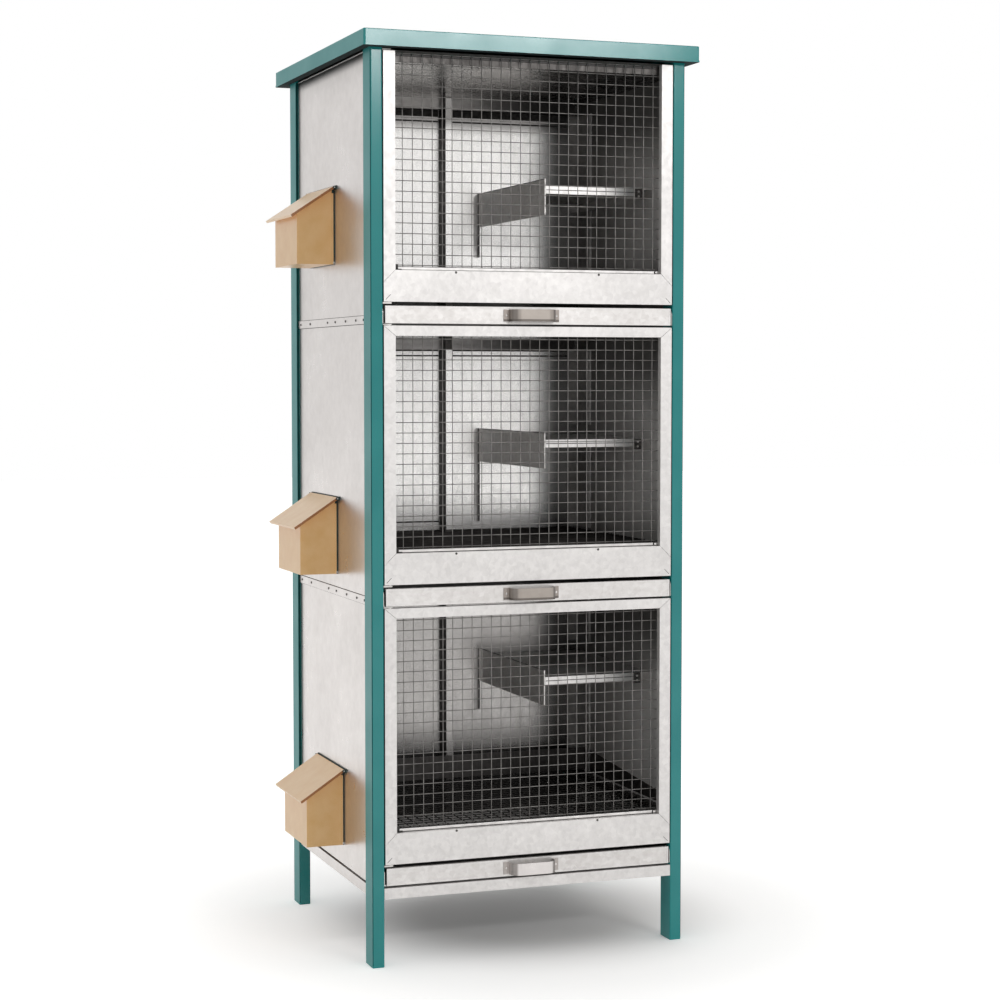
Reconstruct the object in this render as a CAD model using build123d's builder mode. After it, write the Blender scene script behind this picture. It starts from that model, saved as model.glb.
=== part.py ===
from build123d import *
import os
from math import cos, radians, sin, tan

# Pigeon cage in three tiers: painted tube posts under a sheet roof cap, galvanised sheet walls, a meshed
# door and a droppings tray in front of each tier, and a wooden feeder box for each tier on the left wall.
# Millimetres, +Z up, the doors face -Y. The origin is on the floor, under the middle of the whole cage
# with its roof overhang and its feeders.

# Posts and their foot plugs
cage_width = 670.0
cage_depth = 610.0
post_width = 25.0
post_depth = 50.0
post_wall = 1.5
post_corner = 3.0
plug_length = 21.0
plug_floor = 3.0
plug_wall = 2.0
plug_play = 0.1

# Tiers from bottom to top, each counted from the lower edge of its tray front
tier_names = ["bottom", "middle", "top"]
first_tray_height = 162.5
tier_pitch = 556.5
top_tier_height = 533.5

# Roof cap of folded sheet
roof_side_overhang = 21.0
roof_front_overhang = 28.0
roof_rear_overhang = 46.0
roof_skirt = 32.0
roof_sheet = 1.2
roof_fold_radius = 1.5
roof_corner = 4.0
roof_hem_height = 3.5
roof_hem_depth = 0.8
soffit_gap = 3.0

# Rails between the posts, at the top and at the bottom
rail_depth = 20.0
rail_wall = 1.2
top_rail_height = 25.0
bottom_rail_height = 22.0
bottom_rail_gap = 4.5
front_rail_setback = 1.0
side_rail_setback = 4.0

# Sheet walls, their joint straps, the upright on the back wall, the channels across it and the ceiling
wall_sheet = 1.2
wall_setback = 6.0
wall_joint = 0.4
wall_base_gap = 3.5
strap_height = 16.0
strap_thickness = 2.0
mullion_width = 16.0
mullion_depth = 48.0
back_channel_height = 24.0
back_channel_depth = 24.0
back_channel_drop = 19.5
ceiling_drop = 28.8
ceiling_front_gap = 1.0

# Droppings trays and the runners that carry them
tray_side_gap = 4.5
tray_front_height = 35.0
tray_fold = 8.0
tray_fold_radius = 1.0
tray_sheet = 1.2
tray_body_inset = 2.5
tray_side_height = 28.0
tray_back_gap = 6.0
slide_gap = 0.3
runner_lift = 0.5
runner_sheet = 1.2
runner_height = 33.0
runner_leg = 16.0
runner_setback = 3.0
runner_nose = 12.0
runner_fold_gap = 1.0

# Strap handles on the trays
handle_width = 118.0
handle_tab = 12.5
handle_height = 24.0
handle_reach = 27.0
handle_strap = 2.0
handle_bend = 18.0
handle_tab_bend = 3.0

# Doors: folded pan members mitred at the corners
door_side_gap = 2.0
door_lift = 7.5
door_headroom = 4.0
top_door_headroom = 4.7
stile_width = 24.0
door_top_rail = 20.0
door_bottom_rail = 62.0
door_depth = 14.0
door_sheet = 1.2
mitre_gap = 0.8
clamp_bar_height = 6.0
clamp_bar_thickness = 2.5
clamp_bar_drop = 1.0

# Welded wire mesh: the wires of one direction lie behind those of the other
mesh_pitch = 20.6
mesh_wire = 2.0
mesh_seat = 8.0
mesh_shift = 3.0
wire_gap = 0.05

# Door pivots on the left posts and magnetic catches on the right ones
pivot_inset = 12.0
pivot_pin_radius = 3.0
pivot_pin_reach = 2.0
pivot_play = 0.06
pivot_clearance = 0.8
lug_gap = 1.0
lug_rim = 1.0
lug_thickness = 3.0
catch_width = 12.0
catch_depth = 13.0
catch_height = 40.0
catch_gap = 0.4

# Wire floors, their front bars and bearers
floor_pitch = 20.0
floor_wire = 2.0
floor_side_gap = 2.0
floor_back_gap = 1.0
floor_bar_gap = 1.5
floor_bar_thickness = 2.0
floor_bar_height = 7.0
floor_bar_length = 562.0
bearer_sheet = 1.5
bearer_height = 20.0
front_bearer_leg = 18.0
side_bearer_leg = 32.0
mullion_clearance = 1.0
guard_sheet = 1.2
guard_lift = 5.0
guard_rear_height = 56.0
guard_front_height = 25.0

# Nest shelves in the back right corner, with rises counted from the tray line, bottom tier first
nest_sheet = 1.5
nest_plate_offset = 85.0
nest_setback = 141.0
nest_rises = [380.5, 321.0, 289.5]
nest_plate_above = 15.0
nest_plate_below = 60.0
nest_plate_corner = 8.0
nest_tails = [66.0, 135.0, 67.0]
nest_tail_width = 12.0
nest_lip = 16.0
nest_lip_gap = 25.0
nest_flange = 20.0
nest_rear_flange = 9.0

# Feeders on the left wall, with lifts from the tray line and setbacks from the front, bottom tier first
feeder_lifts = [40.5, 44.0, 127.0]
feeder_setbacks = [311.0, 351.0, 365.0]
feeder_width = 178.0
feeder_depth = 74.0
feeder_hinge_height = 157.0
feeder_board = 8.0
feeder_backing = 6.0
feeder_slope = 33.5
glue_line = 0.1
feed_window_width = 120.0
feed_window_height = 62.0
feed_window_lift = 72.0

# Feeder lids, their hinge rods, and the strips on the backing plates that hold the rods
lid_length = 109.0
lid_thickness = 5.0
lid_overhang = 15.0
lid_gap = 0.4
hinge_gap = 0.3
hinge_rod_radius = 1.2
hinge_play = 0.06
hinge_strip = 2.0
hinge_strip_rise = 1.5
ear_thickness = 3.0
ear_play = 0.4
ear_seat_play = 0.03

# Feeder reach past the posts sets the middle of the whole object, so it comes before the cage's own faces
lid_radius = lid_thickness / 2
slope_cos = cos(radians(feeder_slope))
slope_sin = sin(radians(feeder_slope))
slope_tan = tan(radians(feeder_slope))
hinge_offset = hinge_strip + hinge_gap + lid_radius
feeder_reach = hinge_offset - wall_setback + lid_length * slope_cos + lid_radius * slope_sin
centre_x = (feeder_reach - roof_side_overhang) / 2
centre_y = (roof_front_overhang - roof_rear_overhang) / 2

# Faces of the cage that the pieces are placed from
left = centre_x - cage_width / 2
right = centre_x + cage_width / 2
front = centre_y - cage_depth / 2
back = centre_y + cage_depth / 2
inner_left = left + post_width
inner_right = right - post_width
inner_width = inner_right - inner_left
front_post_back = front + post_depth
rear_post_front = back - post_depth
wall_left = left + wall_setback
wall_right = right - wall_setback
wall_inner_left = wall_left + wall_sheet
wall_inner_right = wall_right - wall_sheet
back_wall = rear_post_front - wall_sheet
mullion_front = back_wall - mullion_depth
side_length = rear_post_front - front_post_back
side_middle = (rear_post_front + front_post_back) / 2

# Heights
tier_bases = [first_tray_height + i * tier_pitch for i in range(len(tier_names))]
roof_underside = tier_bases[-1] + top_tier_height
roof_top = roof_underside + roof_skirt
frame_top = roof_top - roof_sheet
top_rail_base = frame_top - top_rail_height
ceiling_base = top_rail_base - ceiling_drop
channel_tops = [base - back_channel_drop for base in tier_bases[1:]] + [ceiling_base]
bottom_rail_top = first_tray_height - bottom_rail_gap
bottom_rail_base = bottom_rail_top - bottom_rail_height
wall_joints = [base + strap_height / 2 for base in tier_bases[1:]]
wall_edges = [bottom_rail_top + wall_base_gap, *wall_joints, frame_top]

# Doors
door_left = inner_left + door_side_gap
door_right = inner_right - door_side_gap
door_bottoms = [base + tray_front_height + door_lift for base in tier_bases]
door_tops = [base - door_headroom for base in tier_bases[1:]]
door_tops.append(roof_underside - top_door_headroom)
door_back = front + door_depth
mesh_back = door_back + 2 * mesh_wire + wire_gap
pivot_x = door_left + pivot_inset
pivot_y = front + door_sheet + pivot_clearance + pivot_pin_radius
floor_heights = [bottom + door_bottom_rail for bottom in door_bottoms]
floor_front = mesh_back + floor_bar_gap + floor_bar_thickness

# Feeders
hinge_x = wall_left - hinge_offset
box_back = wall_left - feeder_backing
box_front = box_back - feeder_depth
lid_width = feeder_width + 2 * lid_overhang
hinge_width = lid_width + 2 * (ear_play + ear_thickness)
feeder_bases = [base + lift for base, lift in zip(tier_bases, feeder_lifts)]
feeder_middles = [front + setback for setback in feeder_setbacks]
hinge_heights = [base + feeder_hinge_height for base in feeder_bases]

os.makedirs("parts", exist_ok=True)


def save(piece, name):
    """Label a finished piece and write it as its own STEP file."""
    piece.part.label = name
    export_step(piece.part, f"parts/{name}.step")


def add_posts():
    """Four tube posts, each closed at the foot by a hollow plug that is flush with its end."""
    post_x = {"left": left + post_width / 2, "right": right - post_width / 2}
    post_y = {"front": front + post_depth / 2, "rear": back - post_depth / 2}
    bore_width = post_width - 2 * post_wall
    bore_depth = post_depth - 2 * post_wall
    plug_inset = 2 * plug_play
    cup_inset = 2 * (plug_play + plug_wall)
    feet = [(x, y) for x in post_x.values() for y in post_y.values()]
    with BuildPart() as plugs:
        with BuildSketch():
            with Locations(*feet):
                Rectangle(bore_width - plug_inset, bore_depth - plug_inset)
        extrude(amount=plug_length)
        with BuildSketch(Plane.XY.offset(plug_floor)):
            with Locations(*feet):
                Rectangle(bore_width - cup_inset, bore_depth - cup_inset)
        extrude(amount=plug_length - plug_floor, mode=Mode.SUBTRACT)
    save(plugs, "foot_plugs")
    for end, y in post_y.items():
        for side, x in post_x.items():
            with BuildPart() as post:
                with BuildSketch():
                    with Locations((x, y)):
                        RectangleRounded(post_width, post_depth, post_corner)
                        Rectangle(bore_width, bore_depth, mode=Mode.SUBTRACT)
                extrude(amount=frame_top)
            save(post, f"post_{end}_{side}")


def add_roof():
    """Roof cap: a top sheet and a hemmed skirt, folded in below to a soffit that the posts pass."""
    width = cage_width + 2 * roof_side_overhang
    depth = cage_depth + roof_front_overhang + roof_rear_overhang
    middle_y = centre_y + (roof_rear_overhang - roof_front_overhang) / 2
    skirt_wall = roof_hem_depth + roof_sheet
    with BuildPart() as cap:
        with BuildSketch(Plane.XY.offset(roof_underside)):
            with Locations((centre_x, middle_y)):
                RectangleRounded(width, depth, roof_corner)
        extrude(amount=roof_hem_height)
        with BuildSketch(Plane.XY.offset(roof_underside + roof_hem_height)):
            with Locations((centre_x, middle_y)):
                RectangleRounded(width - 2 * roof_hem_depth, depth - 2 * roof_hem_depth, roof_corner)
        extrude(amount=roof_skirt - roof_hem_height)
        fillet(cap.faces().sort_by(Axis.Z)[-1].edges(), radius=roof_fold_radius)
        with BuildSketch(Plane.XY.offset(roof_underside + roof_sheet)):
            with Locations((centre_x, middle_y)):
                Rectangle(width - 2 * skirt_wall, depth - 2 * skirt_wall)
        extrude(amount=roof_skirt - 2 * roof_sheet, mode=Mode.SUBTRACT)
        with BuildSketch(Plane.XY.offset(roof_underside)):
            with Locations((centre_x, centre_y)):
                Rectangle(cage_width + 2 * soffit_gap, cage_depth + 2 * soffit_gap)
        extrude(amount=roof_sheet, mode=Mode.SUBTRACT)
    save(cap, "roof_cap")


def rail_section(middle, height):
    """Section of a rail tube around a point of the sketch in hand."""
    with Locations(middle):
        Rectangle(rail_depth, height)
        Rectangle(rail_depth - 2 * rail_wall, height - 2 * rail_wall, mode=Mode.SUBTRACT)


def cross_rails(front_faces, base, height):
    """Rails between the left and the right posts, each with its front face at a given y."""
    with BuildPart() as rails:
        with BuildSketch(Plane.YZ.offset(inner_left)):
            for y in front_faces:
                rail_section((y + rail_depth / 2, base + height / 2), height)
        extrude(amount=inner_width)
    return rails


def side_rails(left_faces, base, height):
    """Rails from the front posts to the back wall, each with its left face at a given x."""
    with BuildPart() as rails:
        with BuildSketch(Plane.XZ.offset(-back_wall)):
            for x in left_faces:
                rail_section((x + rail_depth / 2, base + height / 2), height)
        extrude(amount=back_wall - front_post_back)
    return rails


def add_rails():
    """Top rails inside the cap and bottom rails under the lowest tray."""
    front_y = front + front_rail_setback
    save(cross_rails([front_y, rear_post_front], top_rail_base, top_rail_height), "top_rails_cross")
    save(cross_rails([front_y], bottom_rail_base, bottom_rail_height), "bottom_rail_front")
    save(cross_rails([rear_post_front], bottom_rail_base, bottom_rail_height), "bottom_rail_rear")
    top_faces = [wall_inner_left, wall_inner_right - rail_depth]
    save(side_rails(top_faces, top_rail_base, top_rail_height), "top_rails_side")
    bottom_faces = [left + side_rail_setback, right - side_rail_setback - rail_depth]
    save(side_rails(bottom_faces, bottom_rail_base, bottom_rail_height), "bottom_rails_side")


def feed_window(i):
    """Centre of a tier's feed window across the left wall, as (y, z)."""
    return feeder_middles[i], feeder_bases[i] + feed_window_lift + feed_window_height / 2


def add_side_walls():
    """Three sheets a side between the posts, the left ones with a feed window each."""
    for i, name in enumerate(tier_names):
        base = wall_edges[i]
        height = wall_edges[i + 1] - base
        if i > 0:
            base += wall_joint
            height -= wall_joint
        for side, x in {"left": wall_left, "right": wall_inner_right}.items():
            with BuildPart() as sheet:
                with BuildSketch(Plane.YZ.offset(x)):
                    with Locations((side_middle, base + height / 2)):
                        Rectangle(side_length, height)
                    if side == "left":
                        with Locations(feed_window(i)):
                            Rectangle(feed_window_width, feed_window_height, mode=Mode.SUBTRACT)
                extrude(amount=wall_sheet)
            save(sheet, f"side_wall_{side}_{name}")
    for side, x in {"left": wall_left - strap_thickness, "right": wall_right}.items():
        with BuildPart() as straps:
            with BuildSketch(Plane.YZ.offset(x)):
                for joint in wall_joints:
                    with Locations((side_middle, joint)):
                        Rectangle(side_length, strap_height)
            extrude(amount=strap_thickness)
        save(straps, f"joint_straps_{side}")


def add_back_wall():
    """Two back sheets, the upright over their joint, the channels across them, and the ceiling."""
    sheet_width = (wall_inner_right - wall_inner_left - wall_joint) / 2
    middles = {"left": wall_inner_left + sheet_width / 2, "right": wall_inner_right - sheet_width / 2}
    sheet_height = frame_top - bottom_rail_base
    for side, x in middles.items():
        with BuildPart() as sheet:
            with BuildSketch(Plane.XZ.offset(-rear_post_front)):
                with Locations((x, bottom_rail_base + sheet_height / 2)):
                    Rectangle(sheet_width, sheet_height)
            extrude(amount=wall_sheet)
        save(sheet, f"back_wall_{side}")
    with BuildPart() as mullion:
        with BuildSketch(Plane.XY.offset(bottom_rail_base)):
            with Locations((centre_x, back_wall - mullion_depth / 2)):
                Rectangle(mullion_width, mullion_depth)
                Rectangle(mullion_width - 2 * rail_wall, mullion_depth - 2 * rail_wall, mode=Mode.SUBTRACT)
        extrude(amount=ceiling_base - bottom_rail_base)
    save(mullion, "back_mullion")
    channel_length = (inner_width - mullion_width) / 2
    with BuildPart() as channels:
        for start in (inner_left, centre_x + mullion_width / 2):
            with BuildSketch(Plane.YZ.offset(start)):
                for top in channel_tops:
                    with Locations((back_wall - back_channel_depth / 2, top - back_channel_height / 2)):
                        Rectangle(back_channel_depth, back_channel_height)
                        Rectangle(
                            back_channel_depth - 2 * rail_wall,
                            back_channel_height - 2 * rail_wall,
                            mode=Mode.SUBTRACT,
                        )
            extrude(amount=channel_length)
    save(channels, "back_channels")
    ceiling_front = mesh_back + clamp_bar_thickness + ceiling_front_gap
    with BuildPart() as ceiling:
        with BuildSketch(Plane.XY.offset(ceiling_base)):
            with Locations((centre_x, (ceiling_front + back_wall) / 2)):
                Rectangle(inner_width, back_wall - ceiling_front)
            with Locations((centre_x, (front_post_back + back_wall) / 2)):
                Rectangle(wall_inner_right - wall_inner_left, back_wall - front_post_back)
        extrude(amount=wall_sheet)
    save(ceiling, "ceiling_sheet")


def add_runners(base, name):
    """A pair of angle runners on the posts, with a rounded nose beside the tray front."""
    leg_base = base + runner_lift
    leg_front = front + tray_fold + runner_fold_gap
    with BuildPart() as runners:
        for post_face, inward in ((inner_left, 1), (inner_right, -1)):
            web_x = post_face + inward * runner_sheet / 2
            leg_x = post_face + inward * runner_leg / 2
            with BuildSketch(Plane.XZ.offset(-back_wall)):
                with Locations((web_x, leg_base + runner_height / 2)):
                    Rectangle(runner_sheet, runner_height)
            extrude(amount=back_wall - front - runner_setback)
            with BuildSketch(Plane.XZ.offset(-back_wall)):
                with Locations((leg_x, leg_base + runner_sheet / 2)):
                    Rectangle(runner_leg, runner_sheet)
            extrude(amount=back_wall - leg_front)
        nose_edges = runners.edges().filter_by(Axis.X).group_by(Axis.Y)[0]
        fillet(nose_edges.group_by(Axis.Z)[-1], radius=runner_nose)
    save(runners, f"tray_runners_{name}")


def add_tray(base, name):
    """A droppings tray: an open sheet box behind a front with folded edges."""
    front_width = inner_width - 2 * tray_side_gap
    body_width = front_width - 2 * tray_body_inset
    floor_base = base + runner_lift + runner_sheet + slide_gap
    tray_back = mullion_front - tray_back_gap
    length = tray_back - front
    with BuildPart() as tray:
        with BuildSketch(Plane.XY.offset(floor_base)):
            with Locations((centre_x, front + length / 2)):
                Rectangle(body_width, length)
        extrude(amount=tray_side_height)
        with BuildSketch(Plane.XY.offset(floor_base + tray_sheet)):
            with Locations((centre_x, front + length / 2)):
                Rectangle(body_width - 2 * tray_sheet, length - 2 * tray_sheet)
        extrude(amount=tray_side_height - tray_sheet, mode=Mode.SUBTRACT)
        with BuildSketch(Plane.YZ.offset(centre_x - front_width / 2)):
            with Locations((front + tray_sheet / 2, base + tray_front_height / 2)):
                Rectangle(tray_sheet, tray_front_height)
            for fold_z in (base + tray_sheet / 2, base + tray_front_height - tray_sheet / 2):
                with Locations((front + tray_fold / 2, fold_z)):
                    Rectangle(tray_fold, tray_sheet)
        extrude(amount=front_width)
        fillet(tray.edges().filter_by(Axis.X).group_by(Axis.Y)[0], radius=tray_fold_radius)
    save(tray, f"tray_{name}")


def add_handle(base, name):
    """A bent strap handle with a tab at each end, on the middle of a tray front."""
    half = handle_width / 2
    bend = half - handle_tab
    inside = front - (handle_reach - handle_strap)
    path = [(-half, front), (-bend, front), (-bend, inside), (bend, inside), (bend, front), (half, front)]
    radii = [handle_tab_bend, handle_bend, handle_bend, handle_tab_bend]
    with BuildPart() as handle:
        with BuildSketch(Plane.XY.offset(base + (tray_front_height - handle_height) / 2)):
            with BuildLine():
                FilletPolyline(*[(centre_x + x, y) for x, y in path], radius=radii)
                offset(amount=handle_strap, side=Side.RIGHT)
            make_face()
        extrude(amount=handle_height)
    save(handle, f"tray_handle_{name}")


def door_members(bottom, top, has_top_rail):
    """Outlines of a door's stiles and rails on its front face, as lists of (x, z) corners."""
    inner = [door_left + stile_width, door_right - stile_width]
    sill = bottom + door_bottom_rail
    mitre_foot = sill - stile_width
    head = top - door_top_rail
    rail = [(door_left, bottom), (door_right, bottom), (door_right, mitre_foot), (inner[1], sill)]
    rail += [(inner[0], sill), (door_left, mitre_foot)]
    members = [rail]
    for outer_x, inner_x in ((door_left, inner[0]), (door_right, inner[1])):
        stile = [(outer_x, mitre_foot + mitre_gap), (inner_x, sill + mitre_gap)]
        if has_top_rail:
            stile += [(inner_x, head - mitre_gap), (outer_x, top - mitre_gap)]
        else:
            stile += [(inner_x, top), (outer_x, top)]
        members.append(stile)
    if has_top_rail:
        members.append([(door_left, top), (door_right, top), (inner[1], head), (inner[0], head)])
    return members


def add_door(i, name):
    """A door: pan-shaped members folded back all round, and the mesh on their rear edges."""
    bottom = door_bottoms[i]
    top = door_tops[i]
    sill = bottom + door_bottom_rail
    is_top_door = i == len(tier_names) - 1
    face = Plane.XZ.offset(-front)
    with BuildPart() as frame:
        with BuildSketch(face) as outlines:
            for corners in door_members(bottom, top, not is_top_door):
                with BuildLine():
                    Polyline(*corners, close=True)
                make_face()
        extrude(amount=-door_depth)
        with BuildSketch(face.offset(-door_sheet)):
            for outline in outlines.sketch_local.faces():
                offset(outline, amount=-door_sheet, mode=Mode.ADD)
        extrude(amount=-(door_depth - door_sheet), mode=Mode.SUBTRACT)
        with BuildSketch(Plane.XY.offset(bottom)):
            with Locations((pivot_x, pivot_y)):
                Circle(pivot_pin_radius + pivot_play)
        extrude(amount=door_sheet, mode=Mode.SUBTRACT)
        with BuildSketch(Plane.XY.offset(top)):
            with Locations((pivot_x, pivot_y)):
                Circle(pivot_pin_radius + pivot_play)
        extrude(amount=-door_sheet, mode=Mode.SUBTRACT)
        if is_top_door:
            bar_length = door_right - door_left - 2 * (stile_width - mesh_seat)
            with BuildSketch(Plane.XZ.offset(-mesh_back)):
                with Locations((centre_x, top - clamp_bar_drop - clamp_bar_height / 2)):
                    Rectangle(bar_length, clamp_bar_height)
            extrude(amount=-clamp_bar_thickness)
    save(frame, f"door_frame_{name}")

    mesh_width = door_right - door_left - 2 * (stile_width - mesh_seat)
    mesh_base = sill - (mesh_pitch + mesh_wire) / 2
    mesh_limit = top - clamp_bar_drop if is_top_door else top - door_top_rail + mesh_seat
    mesh_rows = round((mesh_limit - mesh_base - mesh_wire) / mesh_pitch)
    mesh_height = mesh_rows * mesh_pitch + mesh_wire
    mesh_middle = (centre_x + mesh_shift, mesh_base + mesh_height / 2)
    mesh_plane = Plane.XZ.offset(-door_back)
    mesh = wire_mesh(mesh_plane, mesh_middle, mesh_width, mesh_height, mesh_pitch, mesh_wire, -1)
    save(mesh, f"door_mesh_{name}")


def wire_mesh(plane, middle, width, height, pitch, wire, way):
    """Welded mesh on a plane: upright wires in one layer, level wires in the next, each with its border."""
    columns = int(round((width - wire) / pitch, 3))
    rows = int(round((height - wire) / pitch, 3))
    with BuildPart() as mesh:
        with BuildSketch(plane):
            with Locations(middle):
                Rectangle(columns * pitch + wire, height)
                with GridLocations(pitch, height, columns, 1):
                    Rectangle(pitch - wire, height - 2 * wire, mode=Mode.SUBTRACT)
        extrude(amount=way * wire)
        with BuildSketch(plane.offset(way * (wire + wire_gap))):
            with Locations(middle):
                Rectangle(width, rows * pitch + wire)
                with GridLocations(width, pitch, 1, rows):
                    Rectangle(width - 2 * wire, pitch - wire, mode=Mode.SUBTRACT)
        extrude(amount=way * wire)
    return mesh


def add_pivots():
    """Lugs on the left posts, above and below each door, each with its pin."""
    lug_radius = pivot_pin_radius + lug_rim
    lug_length = pivot_x + lug_radius - inner_left
    with BuildPart() as pivots:
        for i, (bottom, top) in enumerate(zip(door_bottoms, door_tops)):
            room = top_door_headroom if i == len(tier_names) - 1 else door_headroom
            upper = (top + lug_gap, room - 2 * lug_gap, -(lug_gap + door_sheet + pivot_pin_reach))
            lower = (bottom - lug_gap, -lug_thickness, lug_gap + door_sheet + pivot_pin_reach)
            for face_z, thickness, reach in (upper, lower):
                with BuildSketch(Plane.XY.offset(face_z)):
                    with Locations((inner_left + lug_length / 2, pivot_y)):
                        Rectangle(lug_length, 2 * lug_radius)
                extrude(amount=thickness)
                with BuildSketch(Plane.XY.offset(face_z)):
                    with Locations((pivot_x, pivot_y)):
                        Circle(pivot_pin_radius)
                extrude(amount=reach)
    save(pivots, "door_pivots")


def add_catches():
    """Magnetic catches on the right posts, just behind the doors' free stiles."""
    with BuildPart() as catches:
        for bottom, top in zip(door_bottoms, door_tops):
            with BuildSketch(Plane.XZ.offset(-(door_back + catch_gap))):
                with Locations((inner_right - catch_width / 2, (bottom + top) / 2)):
                    Rectangle(catch_width, catch_height)
            extrude(amount=-catch_depth)
    save(catches, "door_catches")


def add_floor(i, name):
    """A wire floor, notched round the upright on the back wall."""
    length = back_wall - floor_back_gap - floor_front
    middle = (centre_x, floor_front + length / 2)
    width = inner_width - 2 * floor_side_gap
    plane = Plane.XY.offset(floor_heights[i])
    mesh = wire_mesh(plane, middle, width, length, floor_pitch, floor_wire, 1)
    notch_depth = mullion_depth + mullion_clearance
    with BuildPart() as floor:
        add(mesh.part)
        with BuildSketch(plane):
            with Locations((centre_x, back_wall - notch_depth / 2)):
                Rectangle(mullion_width + 2 * mullion_clearance, notch_depth)
        extrude(amount=2 * floor_wire + wire_gap, mode=Mode.SUBTRACT)
    save(floor, f"floor_mesh_{name}")


def add_floor_supports():
    """Bars along the floors' front edges, angle bearers under them, and the bottom floor's guards."""
    with BuildPart() as bars:
        for height in floor_heights:
            with BuildSketch(Plane.XZ.offset(-floor_front)):
                with Locations((centre_x, height + floor_bar_height / 2)):
                    Rectangle(floor_bar_length, floor_bar_height)
            extrude(amount=floor_bar_thickness)
    save(bars, "floor_bars")
    web_y = floor_front + front_bearer_leg - bearer_sheet / 2
    with BuildPart() as bearers:
        for height in floor_heights:
            leg_z = height - bearer_sheet / 2
            web_z = height - bearer_height / 2
            with BuildSketch(Plane.YZ.offset(inner_left)):
                with Locations((floor_front + front_bearer_leg / 2, leg_z)):
                    Rectangle(front_bearer_leg, bearer_sheet)
                with Locations((web_y, web_z)):
                    Rectangle(bearer_sheet, bearer_height)
            extrude(amount=inner_width)
            with BuildSketch(Plane.XZ.offset(-back_wall)):
                for wall, inward in ((wall_inner_left, 1), (wall_inner_right, -1)):
                    with Locations((wall + inward * side_bearer_leg / 2, leg_z)):
                        Rectangle(side_bearer_leg, bearer_sheet)
                    with Locations((wall + inward * bearer_sheet / 2, web_z)):
                        Rectangle(bearer_sheet, bearer_height)
            extrude(amount=back_wall - front_post_back)
        guard_base = floor_heights[0] + guard_lift
        guard_tops = [floor_heights[0] + rise for rise in (guard_front_height, guard_rear_height)]
        guard_right = wall_inner_right - guard_sheet - wall_joint
        with BuildSketch(Plane.XZ.offset(-mullion_front)):
            with Locations(((inner_left + guard_right) / 2, (guard_base + guard_tops[1]) / 2)):
                Rectangle(guard_right - inner_left, guard_tops[1] - guard_base)
        extrude(amount=guard_sheet)
        with BuildSketch(Plane.YZ.offset(wall_inner_right)):
            with BuildLine():
                Polyline(
                    (front_post_back, guard_base),
                    (mullion_front, guard_base),
                    (mullion_front, guard_tops[1]),
                    (front_post_back, guard_tops[0]),
                    close=True,
                )
            make_face()
        extrude(amount=-guard_sheet)
    save(bearers, "floor_bearers")


def add_nest(i, name):
    """A nest shelf against the right and back walls, and the flanged plate that closes its left side."""
    shelf_top = tier_bases[i] + nest_rises[i]
    shelf_front = front + nest_setback
    plate_face = centre_x + nest_plate_offset
    depth = back_wall - shelf_front
    width = wall_inner_right - plate_face
    lip_width = width - nest_lip_gap
    with BuildPart() as shelf:
        with BuildSketch(Plane.XY.offset(shelf_top - nest_sheet)):
            with Locations((plate_face + width / 2, shelf_front + depth / 2)):
                Rectangle(width, depth)
        extrude(amount=nest_sheet)
        with BuildSketch(Plane.XZ.offset(-shelf_front)):
            with Locations((plate_face + lip_width / 2, shelf_top - nest_lip / 2)):
                Rectangle(lip_width, nest_lip)
        extrude(amount=-nest_sheet)
        with BuildSketch(Plane.YZ.offset(wall_inner_right)):
            with Locations((shelf_front + depth / 2, shelf_top - nest_flange / 2)):
                Rectangle(depth, nest_flange)
        extrude(amount=-nest_sheet)
    save(shelf, f"nest_shelf_{name}")

    plate_base = shelf_top - nest_plate_below
    plate_top = shelf_top + nest_plate_above
    tail_front = back_wall - nest_tail_width
    tail_base = plate_base - nest_tails[i]
    flange_right = plate_face - nest_sheet
    with BuildPart() as plate:
        with BuildSketch(Plane.YZ.offset(plate_face)):
            with BuildLine():
                Polyline(
                    (shelf_front, plate_base),
                    (shelf_front, plate_top),
                    (back_wall, plate_top),
                    (back_wall, tail_base),
                    (tail_front, tail_base),
                    (tail_front, plate_base),
                    close=True,
                )
            make_face()
        extrude(amount=-nest_sheet)
        with BuildSketch(Plane.XZ.offset(-back_wall)):
            with Locations((flange_right - nest_rear_flange / 2, (tail_base + plate_top) / 2)):
                Rectangle(nest_rear_flange, plate_top - tail_base)
        extrude(amount=nest_sheet)
        flange_corners = plate.edges().filter_by(Axis.Y).group_by(Axis.X)[0]
        fillet(flange_corners.sort_by(Axis.Z)[-1], radius=nest_plate_corner)
    save(plate, f"nest_plate_{name}")


def lid_underside(i, x):
    """Height of the sloping line just under a tier's closed lid, at a place x left of the hinge."""
    return hinge_heights[i] - (lid_radius + lid_gap) / slope_cos - (hinge_x - x) * slope_tan


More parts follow.
